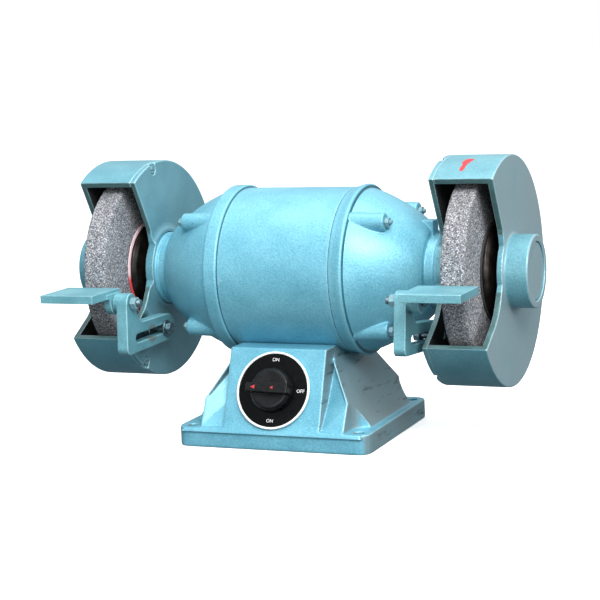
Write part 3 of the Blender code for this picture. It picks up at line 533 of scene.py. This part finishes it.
def fit(made, body, slot, *nodes):
    """Hangs a piece on its body and hides the CAD nodes it stands for. The slot, the name of the
    finish it takes, is not used.
    """
    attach(made, body)
    if nodes:
        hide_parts(*nodes)


def joined(name, meshes, materials):
    """Several closed bmeshes in one piece, such as a set of screws."""
    whole = bmesh.new()
    for mesh in meshes:
        bmesh.ops.recalc_face_normals(mesh, faces=mesh.faces)
        part = bpy.data.meshes.new("part")
        mesh.to_mesh(part)
        mesh.free()
        whole.from_mesh(part)
        bpy.data.meshes.remove(part)
    return to_object(name, whole, materials, radians(30))


def around(angles, radius):
    return [(radius * cos(radians(a)), radius * sin(radians(a))) for a in angles]


# ---- motor ---------------------------------------------------------------------------------
def motor_shell():
    """The rolled drum, with rounded lips where the bells meet it."""
    radius, bore = SHELL_RADIUS, SHELL_RADIUS - 6 * MM
    count, lip = 40, 0.2 * MM
    span = 2 * (SHELL_HALF - lip)
    outside = [(span * (i / count - 0.5), radius) for i in range(count + 1)]
    profile = ([(-SHELL_HALF, radius - lip)] + outside
               + [(SHELL_HALF, radius - lip), (SHELL_HALF, bore), (-SHELL_HALF, bore)])
    drum = to_object("motor_drum", lathe(profile, 240), [MOTOR_PAINT])
    fit(drum, "motor_body", "hammered_paint", "motor_shell")


def dome_radius(x):
    share = (x - RIM_END) / DOME_LENGTH
    return DOME_ROOT + DOME_SWELL * max(0.0, 1 - share ** 1.2) ** 0.75


def rim_profile(side):
    """The bell's rim. The left one steps up from the drum and the right one swells from it."""
    if side < 0:
        swell = [(BELL_START, RIM_RADIUS - RIM_BEAD), (BELL_START + RIM_BEAD, RIM_RADIUS)]
    else:
        heights = ((60.3, 84.6), (62.5, 84.8), (65.0, 85.2), (67.5, 86.0), (70.0, 86.9),
                   (72.3, 87.5))
        swell = [(x * MM, radius * MM) for x, radius in heights]
    return swell + [(RIM_END - RIM_BEAD, RIM_RADIUS), (RIM_END, RIM_RADIUS - RIM_BEAD)]


def end_bells():
    """The domed end castings, with their bolt bosses and bearing necks. The right one has the
    oiler's lug on its neck."""
    count = 26
    stations = [RIM_END + (NECK_START - RIM_END) * (i / count) ** 0.8 for i in range(count + 1)]
    outside = [(x, dome_radius(x)) for x in stations]
    inside = [(x, dome_radius(x) - DOME_WALL) for x in reversed(stations[2:17:3])]
    neck = [(NECK_START + 0.2 * MM, NECK_RADIUS), (151.4 * MM, NECK_RADIUS),
            (152.0 * MM, 34.4 * MM), (153.0 * MM, 34.4 * MM), (153.3 * MM, 37.4 * MM),
            (154.0 * MM, 38.0 * MM), (158.0 * MM, 38.0 * MM), (159.0 * MM, 37.2 * MM),
            (159.0 * MM, SPIGOT_RADIUS), (SPIGOT_END, SPIGOT_RADIUS),
            (SPIGOT_END, 14 * MM), (146.5 * MM, 14 * MM), (146.5 * MM, 26.3 * MM),
            (129.5 * MM, 26.3 * MM), (129.5 * MM, 31 * MM), (136.0 * MM, 33 * MM)]
    mouth = [(RIM_END - 3 * MM, 78 * MM), (BELL_START, 78.5 * MM)]
    for side, word in SIDES:
        profile = rim_profile(side) + outside + neck + inside + mouth
        bell = to_object(f"{word}_bell_casting", lathe(profile, 160, side), [MOTOR_PAINT])
        for centre in around(TIE_ANGLES, TIE_CIRCLE):
            boss = [(BELL_START, 0), (BELL_START, 10.4 * MM), (TIE_END - 0.8 * MM, 9.2 * MM),
                    (TIE_END, 8.4 * MM), (TIE_END, 0)]
            shape(bell, lathe(boss, 40, side, centre), "UNION")
        if side > 0:
            lug = [(-8.5, 30), (8.5, 30), (8.5, 51), (-8.5, 51)]
            block = prism([(y * MM, z * MM) for y, z in lug], 120 * MM, 145 * MM)
            shape(bell, block, "UNION")
        cast(bell, 0.8 * MM, 3, 0.32)
        fit(bell, "motor_body", "hammered_paint", f"{word}_end_bell")
    # painted shade: a dark ring in the corner at the foot of each step in the casting, where the
    # step shades it
    left = [(59.6, 84.2), (60.6, 84.2), (60.6, 86.0), (60.1, 86.0), (60.0, 85.2), (59.6, 84.7)]
    right = [(74.4, 82.0), (76.2, 82.0), (75.9, 83.3), (75.3, 84.2), (75.1, 85.8), (74.4, 85.8)]
    for (side, word), line in zip(SIDES, (left, right)):
        ring = lathe([(x * MM, radius * MM) for x, radius in line], 160, side)
        fit(to_object(f"{word}_bell_dirt", ring, [SHADOW_PAINT]), "motor_body", "hammered_paint",
            f"{word}_end_bell")


def thread(start, end, radius, pitch=1.0 * MM):
    """A threaded end as a profile of fine ridges, with a pointed lead-in at its end."""
    way = 1 if end > start else -1
    profile = [(start, 0), (start, radius - 0.3 * MM)]
    for turn in range(int(abs(end - start) / pitch - 0.5)):
        x = start + way * turn * pitch
        profile += [(x + way * pitch / 2, radius), (x + way * pitch, radius - 0.35 * MM)]
    return profile + [(end - way * 0.4 * MM, radius - 0.4 * MM), (end, radius - 0.9 * MM),
                      (end, 0)]


def hexagon(start, end, flats, centre=(0.0, 0.0), side=1, bore=0.0):
    """A nut or bolt head with chamfered corners."""
    corner = flats / 2 / cos(pi / 6)
    ease = corner - flats / 2
    low = [(start, 0), (start, flats / 2 * 0.96), (start + ease * 0.6, corner),
           (end - ease * 0.6, corner), (end, flats / 2 * 0.96), (end, 0)]
    nut = to_object("nut", lathe(low, 48, side, centre), [])
    shape(nut, rod(start - 1, end + 1, corner, centre, 6, side), "INTERSECT")
    if bore:
        shape(nut, rod(start - 1 * MM, end + 1 * MM, bore, centre, 32, side))
    return to_bmesh(nut)


def tie_bolts():
    """Through bolts of the motor, with a small nut at each end, all painted over."""
    names = ("back_top", "front_top", "front_bottom", "back_bottom")
    for name, centre in zip(names, around(TIE_ANGLES, TIE_CIRCLE)):
        pieces = [rod(-TIE_END - 0.3 * MM, TIE_END + 0.3 * MM, 2.6 * MM, centre, 20)]
        for side, _ in SIDES:
            pieces += [hexagon(TIE_END + 0.2 * MM, TIE_END + 4.4 * MM, 8.4 * MM, centre, side),
                       lathe(thread(TIE_END + 4.4 * MM, TIE_END + 7.0 * MM, 2.6 * MM), 24, side,
                             centre)]
        bolt = joined(f"tie_bolt_{name}_detail", pieces, [PAINTED_ZINC])
        fit(bolt, "motor_body", "zinc_steel", f"tie_bolt_{name}")


# ---- wheels --------------------------------------------------------------------------------
def wheels():
    """Abrasive wheels with a rough broken skin, and the card and steel washers that hold them."""
    rings = 26
    for side, word in SIDES:
        face = [(WHEEL_START + 0.15 * MM, 11 * MM + (WHEEL_RADIUS - 13 * MM) * i / rings)
                for i in range(rings + 1)]
        face += [(WHEEL_START + 0.5 * MM, WHEEL_RADIUS - 1 * MM)]
        rim = [(WHEEL_START + 1.9 * MM + (WHEEL_END - WHEEL_START - 3.8 * MM) * i / 16,
                WHEEL_RADIUS - 0.15 * MM) for i in range(17)]
        back = [(WHEEL_START + WHEEL_END - x, radius) for x, radius in reversed(face)]
        wheel = to_object(f"{word}_grinding_wheel", lathe(face + rim + back, 420, side), [GRIT],
                          radians(60))
        uneven(wheel, 0.14 * MM, 1.4 * MM)
        fit(wheel, "rotor", "abrasive", f"{word}_wheel")
        gap = 0.3 * MM
        card_look = CARD if side < 0 else DARK_CARD
        for node, start, end in (("inner_blotter", WHEEL_START - 1.3 * MM, WHEEL_START - gap),
                                 ("outer_blotter", WHEEL_END + gap, WHEEL_END + 1.3 * MM)):
            card = [(start, 50 * MM), (end, 50 * MM), (end, 11 * MM), (start, 11 * MM)]
            disc = to_object(f"{word}_{node}_card", lathe(rounded(card, 0.2 * MM), 96, side),
                             [card_look])
            fit(disc, "rotor", "blotter_paper", f"{word}_{node}")
        # each flange is dished, so that only its outer ring presses on the card
        inner = [(170.0, 24.0), (170.0, 16.0), (178.6, 16.0), (178.6, 36.0), (179.0, 37.5),
                 (179.0, 47.0), (176.6, 47.0), (173.6, 43.0)]
        outer = [(206.4, 47.0), (206.4, 37.5), (206.8, 36.0), (206.8, 10.4), (215.4, 10.4),
                 (215.4, 26.0), (211.4, 43.0), (208.9, 47.0)]
        for node, profile in (("inner_flange", inner), ("outer_flange", outer)):
            ring = to_object(f"{word}_{node}_dished", lathe(
                rounded([(x * MM, r * MM) for x, r in profile], 0.6 * MM), 112, side),
                [BLACK_STEEL])
            fit(ring, "rotor", "black_steel", f"{word}_{node}")
        nut = joined(f"{word}_spindle_nut_detail",
                     [hexagon(215.7 * MM, 227.6 * MM, 30 * MM, side=side, bore=10.3 * MM)],
                     [BLACK_STEEL])
        fit(nut, "rotor", "zinc_steel", f"{word}_spindle_nut")


# ---- guards --------------------------------------------------------------------------------
def mouth(start, end):
    """The open front of a guard, as a cutter. It passes round the hub on a smooth arc."""
    ring = arc((0, 0), 40.5 * MM, 137, 192, 14)
    swerve = [(y * MM, z * MM) for y, z in ((-44.2, -19.0), (-49.0, -27.5), (-56.5, -36.5),
                                            (-66.0, -44.0))]
    far, high = -160 * MM, MOUTH_TOP[1] * 1.4
    outline = ([(MOUTH_TOP[0] * 1.4, high), MOUTH_TOP, MOUTH_THROAT] + ring + swerve
               + [MOUTH_LOW, (far, MOUTH_LOW[1]), (far, high)])
    return prism(outline, start, end)


def paint_inside(made):
    """Gives the faces of the guard's room the second finish, and the mouth's edge the third."""
    for polygon in made.data.polygons:
        x = abs(polygon.center.x)
        y, z = polygon.center.y, polygon.center.z - SPINDLE.z
        away = hypot(y, z)
        outward = (polygon.normal.y * y + polygon.normal.z * z) / away
        if abs(polygon.normal.x) < 0.6 and outward < 0.75 and polygon.normal.y < 0.2 \
                and HUB_RADIUS + 2 * MM < away and mouth_edge(y, z):
            polygon.material_index = 2
        elif PLATE_END - 0.5 * MM < x < GUARD_END - GUARD_WALL + 0.6 * MM \
                and away < GUARD_RADIUS - GUARD_WALL + 0.5 * MM:
            polygon.material_index = 1


def mouth_edge(y, z):
    """Whether a point lies on the cut that opens the guard, above or below its hub."""
    below = abs(z - MOUTH_LOW[1]) < 1.2 * MM
    slope = (MOUTH_TOP[1] - MOUTH_THROAT[1]) / (MOUTH_TOP[0] - MOUTH_THROAT[0])
    above = abs(z - MOUTH_TOP[1] - slope * (y - MOUTH_TOP[0])) < 4 * MM and z > 40 * MM
    return y < 0 and (below or above or (z < -15 * MM and y > -100 * MM))


def guards():
    """The cast guards: a plate on the motor's side and a drum-shaped cover with a hub."""
    inside = GUARD_RADIUS - GUARD_WALL
    room_end = GUARD_END - GUARD_WALL
    start = SHELL_START - 0.2 * MM
    cover = to_object("right_guard_cover", lathe([
        (start, GUARD_RADIUS), (GUARD_END - 0.6 * MM, GUARD_RADIUS),
        (GUARD_END, GUARD_RADIUS - 0.6 * MM), (GUARD_END, HUB_RADIUS + 2.2 * MM),
        (GUARD_END + 0.7 * MM, HUB_RADIUS + 0.5 * MM), (GUARD_END + 2.2 * MM, HUB_RADIUS),
        (HUB_END - 1 * MM, HUB_RADIUS), (HUB_END, HUB_RADIUS - 1 * MM),
        (HUB_END, PLUG_RADIUS + 0.6 * MM), (HUB_END - 5 * MM, PLUG_RADIUS + 0.6 * MM),
        (HUB_END - 5 * MM, HUB_BORE), (room_end, HUB_BORE), (room_end, inside),
        (start, inside)], 200), [RIGHT_GUARD_PAINT, GRIME, MOUTH_PAINT])
    places = around(SCREW_ANGLES, SCREW_CIRCLE)
    for centre in places:
        shape(cover, rod(SHELL_START, GUARD_END - 2 * MM, 5 * MM, centre), "UNION")
    shape(cover, mouth(SHELL_START - 10 * MM, HUB_END + 10 * MM))
    cast(cover, 0.8 * MM, 2, 0.28)
    paint_inside(cover)

    plate = to_object("right_guard_back", lathe([
        (PLATE_START, GUARD_RADIUS - 0.6 * MM), (PLATE_START + 0.6 * MM, GUARD_RADIUS),
        (PLATE_END, GUARD_RADIUS), (PLATE_END, SPIGOT_RADIUS + 0.4 * MM),
        (PLATE_START, SPIGOT_RADIUS + 0.4 * MM), (PLATE_START, 38.6 * MM),
        (155.8 * MM, 38.6 * MM), (155.8 * MM, 41.4 * MM), (156.3 * MM, 42.4 * MM),
        (157.6 * MM, 43.7 * MM), (158.7 * MM, 45.6 * MM), (PLATE_START, 48.5 * MM)], 200),
        [RIGHT_GUARD_PAINT, GRIME, MOUTH_PAINT])
    for angle in SCREW_ANGLES:
        shape(plate, prism(screw_notch(angle), PLATE_START - 3 * MM, PLATE_START + 3.5 * MM))
    shape(plate, mouth(PLATE_START - 10 * MM, PLATE_END + 10 * MM))
    pad = (CLAMP.y, CLAMP.z)
    shape(plate, rod(PAD_START, PLATE_START + 3 * MM, 14 * MM, pad), "UNION")
    shape(plate, rod(PAD_START - 5 * MM, PLATE_END + 5 * MM, 4.2 * MM, pad, 24))
    cast(plate, 0.8 * MM, 2, 0.28)
    paint_inside(plate)

    plug_face = HUB_END - 1.3 * MM
    plug = to_object("right_hub_cap", lathe(rounded([
        (HUB_END - 4.7 * MM, 0), (HUB_END - 4.7 * MM, PLUG_RADIUS), (plug_face, PLUG_RADIUS),
        (plug_face, 0)], 0.7 * MM), 112), [RIGHT_GUARD_PAINT])
    cast(plug, 0.6 * MM, 1, 0.3)
    screws = []
    for centre in places:
        head = to_object("head", lathe(rounded([
            (PLATE_START + 0.4 * MM, 0), (PLATE_START + 0.4 * MM, 4.2 * MM),
            (PLATE_START + 3.1 * MM, 4.2 * MM), (PLATE_START + 3.1 * MM, 2.1 * MM),
            (PLATE_END + 13 * MM, 2.1 * MM), (PLATE_END + 13 * MM, 0)], 0.9 * MM), 36, 1, centre),
            [])
        y, z = centre
        slit = 0.6 * MM
        shape(head, prism([(y - 6 * MM, z - slit), (y + 6 * MM, z - slit), (y + 6 * MM, z + slit),
                           (y - 6 * MM, z + slit)], PLATE_START - 1 * MM, PLATE_START + 1.6 * MM))
        screws.append(to_bmesh(head))
    screws = joined("right_guard_screws", screws, [PAINTED_ZINC])
    for made, node, slot in ((cover, "guard_shell", "hammered_paint"),
                             (plate, "guard_plate", "hammered_paint"),
                             (plug, "hub_plug", "hammered_paint"),
                             (screws, "guard_screw", "zinc_steel")):
        other = mirrored(made, made.name.replace("right", "left"))
        if made is not screws:
            other.data.materials[0] = LEFT_GUARD_PAINT
        fit(made, "motor_body", slot, f"right_{node}")
        fit(other, "motor_body", slot, f"left_{node}")


def screw_notch(angle):
    """A slot 10 mm wide that runs from the screw out through the plate's rim."""
    out = Vector((cos(radians(angle)), sin(radians(angle))))
    across = Vector((-out.y, out.x)) * 5 * MM
    near, far = out * SCREW_CIRCLE, out * (GUARD_RADIUS + 5 * MM)
    bend = [near + across * cos(radians(a)) - out * 5 * MM * sin(radians(a))
            for a in range(0, 181, 30)]
    return [tuple(p) for p in [far + across] + bend + [far - across]]


def turning_mark():
    """A brushed red mark on the right guard's rim that points the way it turns. It lies 0.05 mm
    proud of the paint, and narrows towards the front."""
    outline = [(-2.0, 15.0), (-3.0, 9.0), (-2.2, 2.0), (-4.6, -5.0), (-3.0, -12.0), (0.5, -15.0),
               (6.0, -13.0), (5.0, -9.0), (3.4, -3.0), (2.0, 3.0), (2.2, 10.0), (1.0, 15.0)]
    middle_x, middle_angle, radius = 189.5 * MM, radians(108.5), GUARD_RADIUS
    mesh = bmesh.new()
    levels = []
    for lift in (-0.4 * MM, 0.05 * MM):
        ring = []
        for across, along in outline:
            angle = middle_angle + along * MM / radius
            ring.append(mesh.verts.new((middle_x + across * MM, (radius + lift) * cos(angle),
                                        SPINDLE.z + (radius + lift) * sin(angle))))
        levels.append(ring)
    count = len(outline)
    for ring in levels:
        for i in range(count // 2 - 1):
            mesh.faces.new((ring[i], ring[i + 1], ring[count - 2 - i], ring[count - 1 - i]))
    for i in range(count):
        j = (i + 1) % count
        mesh.faces.new((levels[0][i], levels[0][j], levels[1][j], levels[1][i]))
    fit(to_object("turning_mark", mesh, [RED_PAINT]), "motor_body", "panel_white")


# ---- base and rests, eased from the CAD solids -----------------------------------------------
def panel_hollow(side):
    """The hollow beside the switch panel, which deepens towards it and runs down to the
    flange."""
    made, rings = bmesh.new(), []
    for height, depth in ((0.8, 4.5), (25.0, 12.0), (62.0, 13.0), (80.0, 13.0)):
        front = -106.9 + 0.628 * height
        outer = max(54.5, 93.5 - 0.66 * height + 0.0008 * height ** 2)
        ring = [(52.4, front - 12), (52.4, front + depth), (outer, front + 0.3),
                (outer + 8, front - 12)]
        rings.append([made.verts.new((side * x * MM, y * MM, (20 + height) * MM))
                      for x, y in ring])
    for low, high in zip(rings, rings[1:]):
        for i in range(4):
            made.faces.new((low[i], low[(i + 1) % 4], high[(i + 1) % 4], high[i]))
    made.faces.new(rings[0])
    made.faces.new(rings[-1])
    bmesh.ops.recalc_face_normals(made, faces=made.faces)
    return made


def eased_copy(node, name, materials, voxel, passes, keep, cuts=()):
    """A copy of a CAD solid with the eased edges of a casting."""
    data = frame["nodes"][node].data.copy()
    painted(data, materials)
    made = placed(name, data)
    weld = made.modifiers.new("weld", "WELD")
    weld.merge_threshold = 0.01 * MM
    evaluated(made)
    for cut in cuts:
        shape(made, cut)
    return cast(made, voxel, passes, keep)


def base():
    hollows = [panel_hollow(side) for side in (-1, 1)]
    casting = eased_copy("base_casting", "base_pedestal", [BASE_PAINT], 0.9 * MM, 12, 0.35,
                         hollows)
    fit(casting, "motor_body", "hammered_paint", "base_casting")


def rests():
    for _, word in SIDES:
        bracket = eased_copy(f"{word}_rest_bracket", f"{word}_bracket_casting", [REST_PAINT],
                             0.55 * MM, 6, 0.35)
        fit(bracket, f"{word}_bracket", "hammered_paint", f"{word}_rest_bracket")
        table = eased_copy(f"{word}_rest_table", f"{word}_table_casting", [REST_PAINT],
                           0.5 * MM, 4, 0.3)
        fit(table, f"{word}_table", "hammered_paint", f"{word}_rest_table")


def rest_hardware():
    for side, word in SIDES:
        clamp = Vector(JOINTS[f"{word}_rest_swing"]["pos_m"]) - SPINDLE
        pivot = Vector(JOINTS[f"{word}_table_tilt"]["pos_m"]) - SPINDLE
        at, turn = (clamp.y, clamp.z), (pivot.y, pivot.z)
        start = BRACKET_START
        bolt = joined(f"{word}_clamp_bolt_detail", [
            hexagon(start - 7.6 * MM, start - 2.4 * MM, 11 * MM, at, side),
            rod(start - 2.4 * MM, PLATE_END - 1 * MM, 3.8 * MM, at, 28, side)],
            [ZINC])
        fit(bolt, f"{word}_clamp", "zinc_steel", f"{word}_clamp_bolt")
        ring = [(start - 2.1 * MM, 8.7 * MM), (start - 0.3 * MM, 8.7 * MM),
                (start - 0.3 * MM, 4.1 * MM), (start - 2.1 * MM, 4.1 * MM)]
        washer = to_object(f"{word}_clamp_washer_detail",
                           lathe(rounded(ring, 0.4 * MM), 56, side, at), [ZINC])
        fit(washer, f"{word}_clamp", "zinc_steel", f"{word}_clamp_washer")
        lug_end = 166.8 * MM
        screw = joined(f"{word}_pivot_bolt_detail", [
            lathe(thread(start - 7.4 * MM, start - 11.5 * MM, 3.8 * MM), 28, side, turn),
            rod(start - 7.6 * MM, lug_end + 1 * MM, 3.7 * MM, turn, 28, side),
            rod(lug_end + 0.3 * MM, lug_end + 4.5 * MM, 5 * MM, turn, 40, side, 0.8 * MM)],
            [ZINC])
        fit(screw, f"{word}_bracket", "zinc_steel", f"{word}_pivot_bolt")
        nut = joined(f"{word}_pivot_nut_detail", [
            hexagon(start - 7.0 * MM, start - 0.8 * MM, 11 * MM, turn, side, 4.1 * MM)],
            [PAINTED_ZINC])
        fit(nut, f"{word}_bracket", "zinc_steel", f"{word}_pivot_nut")


# ---- switch --------------------------------------------------------------------------------
SWITCH_UP = Vector((0, SWITCH_OUT.z, -SWITCH_OUT.y))


def on_panel(mesh):
    """Moves a mesh made about the spindle's line to the panel: X out of it, Z up it."""
    columns = Matrix((SWITCH_OUT, Vector((1, 0, 0)), SWITCH_UP)).transposed().to_4x4()
    place = Matrix.Translation(SWITCH) @ columns @ Matrix.Translation(-SPINDLE)
    bmesh.ops.transform(mesh, matrix=place, verts=mesh.verts)
    return mesh


def switch():
    edge, lip = 39.4 * MM, 2.2 * MM
    rim = rounded([(0.3 * MM, edge), (3.0 * MM, edge), (3.0 * MM, edge - lip),
                   (0.3 * MM, edge - lip)], 0.7 * MM)
    ring = to_object("switch_rim_enamel", on_panel(lathe(rim, 144)), [WHITE_ENAMEL])
    fit(ring, "motor_body", "panel_white", "switch_rim")
    dial = rounded([(0.3 * MM, edge - lip - 0.3 * MM), (2.2 * MM, edge - lip - 0.3 * MM),
                    (2.2 * MM, 5.6 * MM), (0.3 * MM, 5.6 * MM)], 0.3 * MM)
    plate = to_object("switch_dial", on_panel(lathe(dial, 144)), [LACQUER])
    fit(plate, "motor_body", "panel_black", "switch_plate")

    knob = to_object("switch_knob_moulding", on_panel(lathe([
        (2.8 * MM, 0), (2.8 * MM, 22.5 * MM), (5.0 * MM, 22.5 * MM), (9.5 * MM, 21.6 * MM),
        (12.2 * MM, 19.4 * MM), (12.6 * MM, 17.0 * MM), (11.2 * MM, 0)], 96)), [BAKELITE])
    half, tall = 22.3 * MM, 5.3 * MM
    bar = prism([(-half, -tall * 0.8), (half, -tall), (half, tall), (-half, tall * 0.8)],
                4 * MM, 20.8 * MM)
    shape(knob, on_panel(bar), "UNION")
    cast(knob, 0.4 * MM, 4, 0.5)
    fit(knob, "knob", "knob_black", "switch_knob")
    for name, across, long, tall in (("red", -14.5, 2.4, 2.0), ("dull", 6.0, 1.6, 1.5)):
        mark = prism([(across * MM - long * MM, 0), (across * MM + long * MM, -tall * MM),
                      (across * MM + long * MM, tall * MM)], 20.4 * MM, 20.95 * MM)
        fit(to_object(f"knob_mark_{name}", on_panel(mark), [RED_PAINT]), "knob", "panel_white")
    for word, across, up, name in (("ON", 0, 31.0, "top"), ("OFF", 29.9, 0, "right"),
                                   ("ON", 0, -31.0, "bottom")):
        lettering(word, across * MM, up * MM, f"switch_word_{name}")


def lettering(word, across, up, name):
    """A word of the dial in white ink."""
    font = bpy.data.curves.new(name, "FONT")
    font.body, font.size, font.extrude = word, 4.8 * MM, 0.06 * MM
    font.align_x, font.align_y = "CENTER", "CENTER"
    holder = placed(name, font)
    graph = bpy.context.evaluated_depsgraph_get()
    data = bpy.data.meshes.new_from_object(holder.evaluated_get(graph))
    bpy.data.objects.remove(holder)
    columns = Matrix((Vector((1, 0, 0)), SWITCH_UP, SWITCH_OUT)).transposed().to_4x4()
    shift = SWITCH + SWITCH_OUT * 2.3 * MM + Vector((across, 0, 0)) + SWITCH_UP * up
    data.transform(Matrix.Translation(shift) @ columns)
    painted(data, [WHITE_INK])
    fit(placed(name, data), "motor_body", "panel_white")


# ---- what shows little ----------------------------------------------------------------------
def carried_over():
    """The CAD nodes whose shape is right keep it and take a finished surface."""
    finishes = {"spindle": GROUND_STEEL, "rotor_core": LAMINATIONS, "stator_core": LAMINATIONS,
                "left_coil_end": WINDING, "right_coil_end": WINDING, "bottom_cover": TINPLATE,
                "switch_stem": TINPLATE, "run_capacitor": TINPLATE, "switch_body": NYLON,
                "terminal_block": NYLON, "cable_gland": GLAND_PLASTIC,
                "saddle_bolt_front": ZINC, "saddle_bolt_back": ZINC}
    for _, word in SIDES:
        for race in ("inner", "outer"):
            finishes[f"{word}_bearing_{race}"] = BEARING_STEEL
    for name, material in finishes.items():
        painted(frame["nodes"][name].data, [material])


# ---- stage ---------------------------------------------------------------------------------
def stage():
    """A pale sweep under a soft studio sky. The sweep is kept out of the object's own lighting,
    so that its underside stays in shade."""
    mesh = bmesh.new()
    bmesh.ops.create_grid(mesh, x_segments=2, y_segments=2, size=30)
    pale = mottled("pale_floor", "#f6f6f6", "#f3f3f3", 0.8, 400, Emission_Strength=0.45)
    floor = to_object("floor", mesh, [pale])
    floor.location.z = -0.2 * MM
    floor.visible_diffuse = False
    floor.visible_glossy = False
    world = bpy.data.worlds.new("studio")
    bpy.context.scene.world = world
    world.use_nodes = True
    tree = world.node_tree
    back = tree.nodes["Background"]
    way = add(tree, "ShaderNodeTexCoord").outputs["Generated"]
    height = add(tree, "ShaderNodeSeparateXYZ", {"Vector": way})
    sky = add(tree, "ShaderNodeValToRGB", {"Fac": add(tree, "ShaderNodeMapRange", {
        "Value": height.outputs["Z"], "From Min": -1.0, "From Max": 1.0}).outputs["Result"]},
        stops=((0.35, "#68757b"), (0.50, "#98a3a8"), (0.62, "#bfc9cd"), (0.85, "#e9eff2"),
               (1.0, "#ffffff")))
    seen = add(tree, "ShaderNodeLightPath").outputs["Is Camera Ray"]
    tone = add(tree, "ShaderNodeMix", {0: seen, 6: sky.outputs["Color"], 7: linear("#ffffff")},
               data_type="RGBA")
    tree.links.new(tone.outputs["Result"], back.inputs["Color"])
    back.inputs["Strength"].default_value = 1.0


def softbox(name, place, aim, width, height, power):
    light = bpy.data.lights.new(name, "AREA")
    light.shape = "RECTANGLE"
    light.size, light.size_y = width, height
    light.energy = power
    made = placed(name, light)
    made.location = place
    made.rotation_euler = (Vector(aim) - Vector(place)).to_track_quat("-Z", "Y").to_euler()


def lights():
    middle = (0, 0, 0.15)
    softbox("key_softbox", (0.95, -1.45, 1.5), middle, 1.1, 0.9, 47)
    softbox("top_softbox", (0.1, -0.1, 1.9), middle, 1.4, 1.2, 18)
    softbox("front_softbox", (0.2, -2.2, 0.35), middle, 1.8, 0.7, 9)
    softbox("side_softbox", (2.0, -0.5, 0.6), middle, 1.0, 0.8, 16)


AZIMUTH, ELEVATION, ROLL = radians(23.35), radians(8.65), radians(-2.68)
DISTANCE, AIM, FIELD_MM, LENS_MM = 1.7747, Vector((-6.5 * MM, 0, -33 * MM)), 36.0, 102.2


def camera():
    toward = Vector((sin(AZIMUTH) * cos(ELEVATION), -cos(AZIMUTH) * cos(ELEVATION),
                     sin(ELEVATION)))
    level = Vector((cos(AZIMUTH), sin(AZIMUTH), 0))
    upward = toward.cross(level)
    right = level * cos(ROLL) + upward * sin(ROLL)
    up = toward.cross(right)
    data = bpy.data.cameras.new("camera")
    data.sensor_width, data.lens = FIELD_MM, LENS_MM
    made = placed("camera", data)
    turn = Matrix((right, up, toward)).transposed().to_4x4()
    made.matrix_world = Matrix.Translation(SPINDLE + AIM + toward * DISTANCE) @ turn
    bpy.context.scene.camera = made


camera()
stage()
lights()
motor_shell()
end_bells()
tie_bolts()
wheels()
guards()
turning_mark()
base()
rests()
rest_hardware()
switch()
carried_over()
bpy.context.scene.view_settings.view_transform = "Standard"
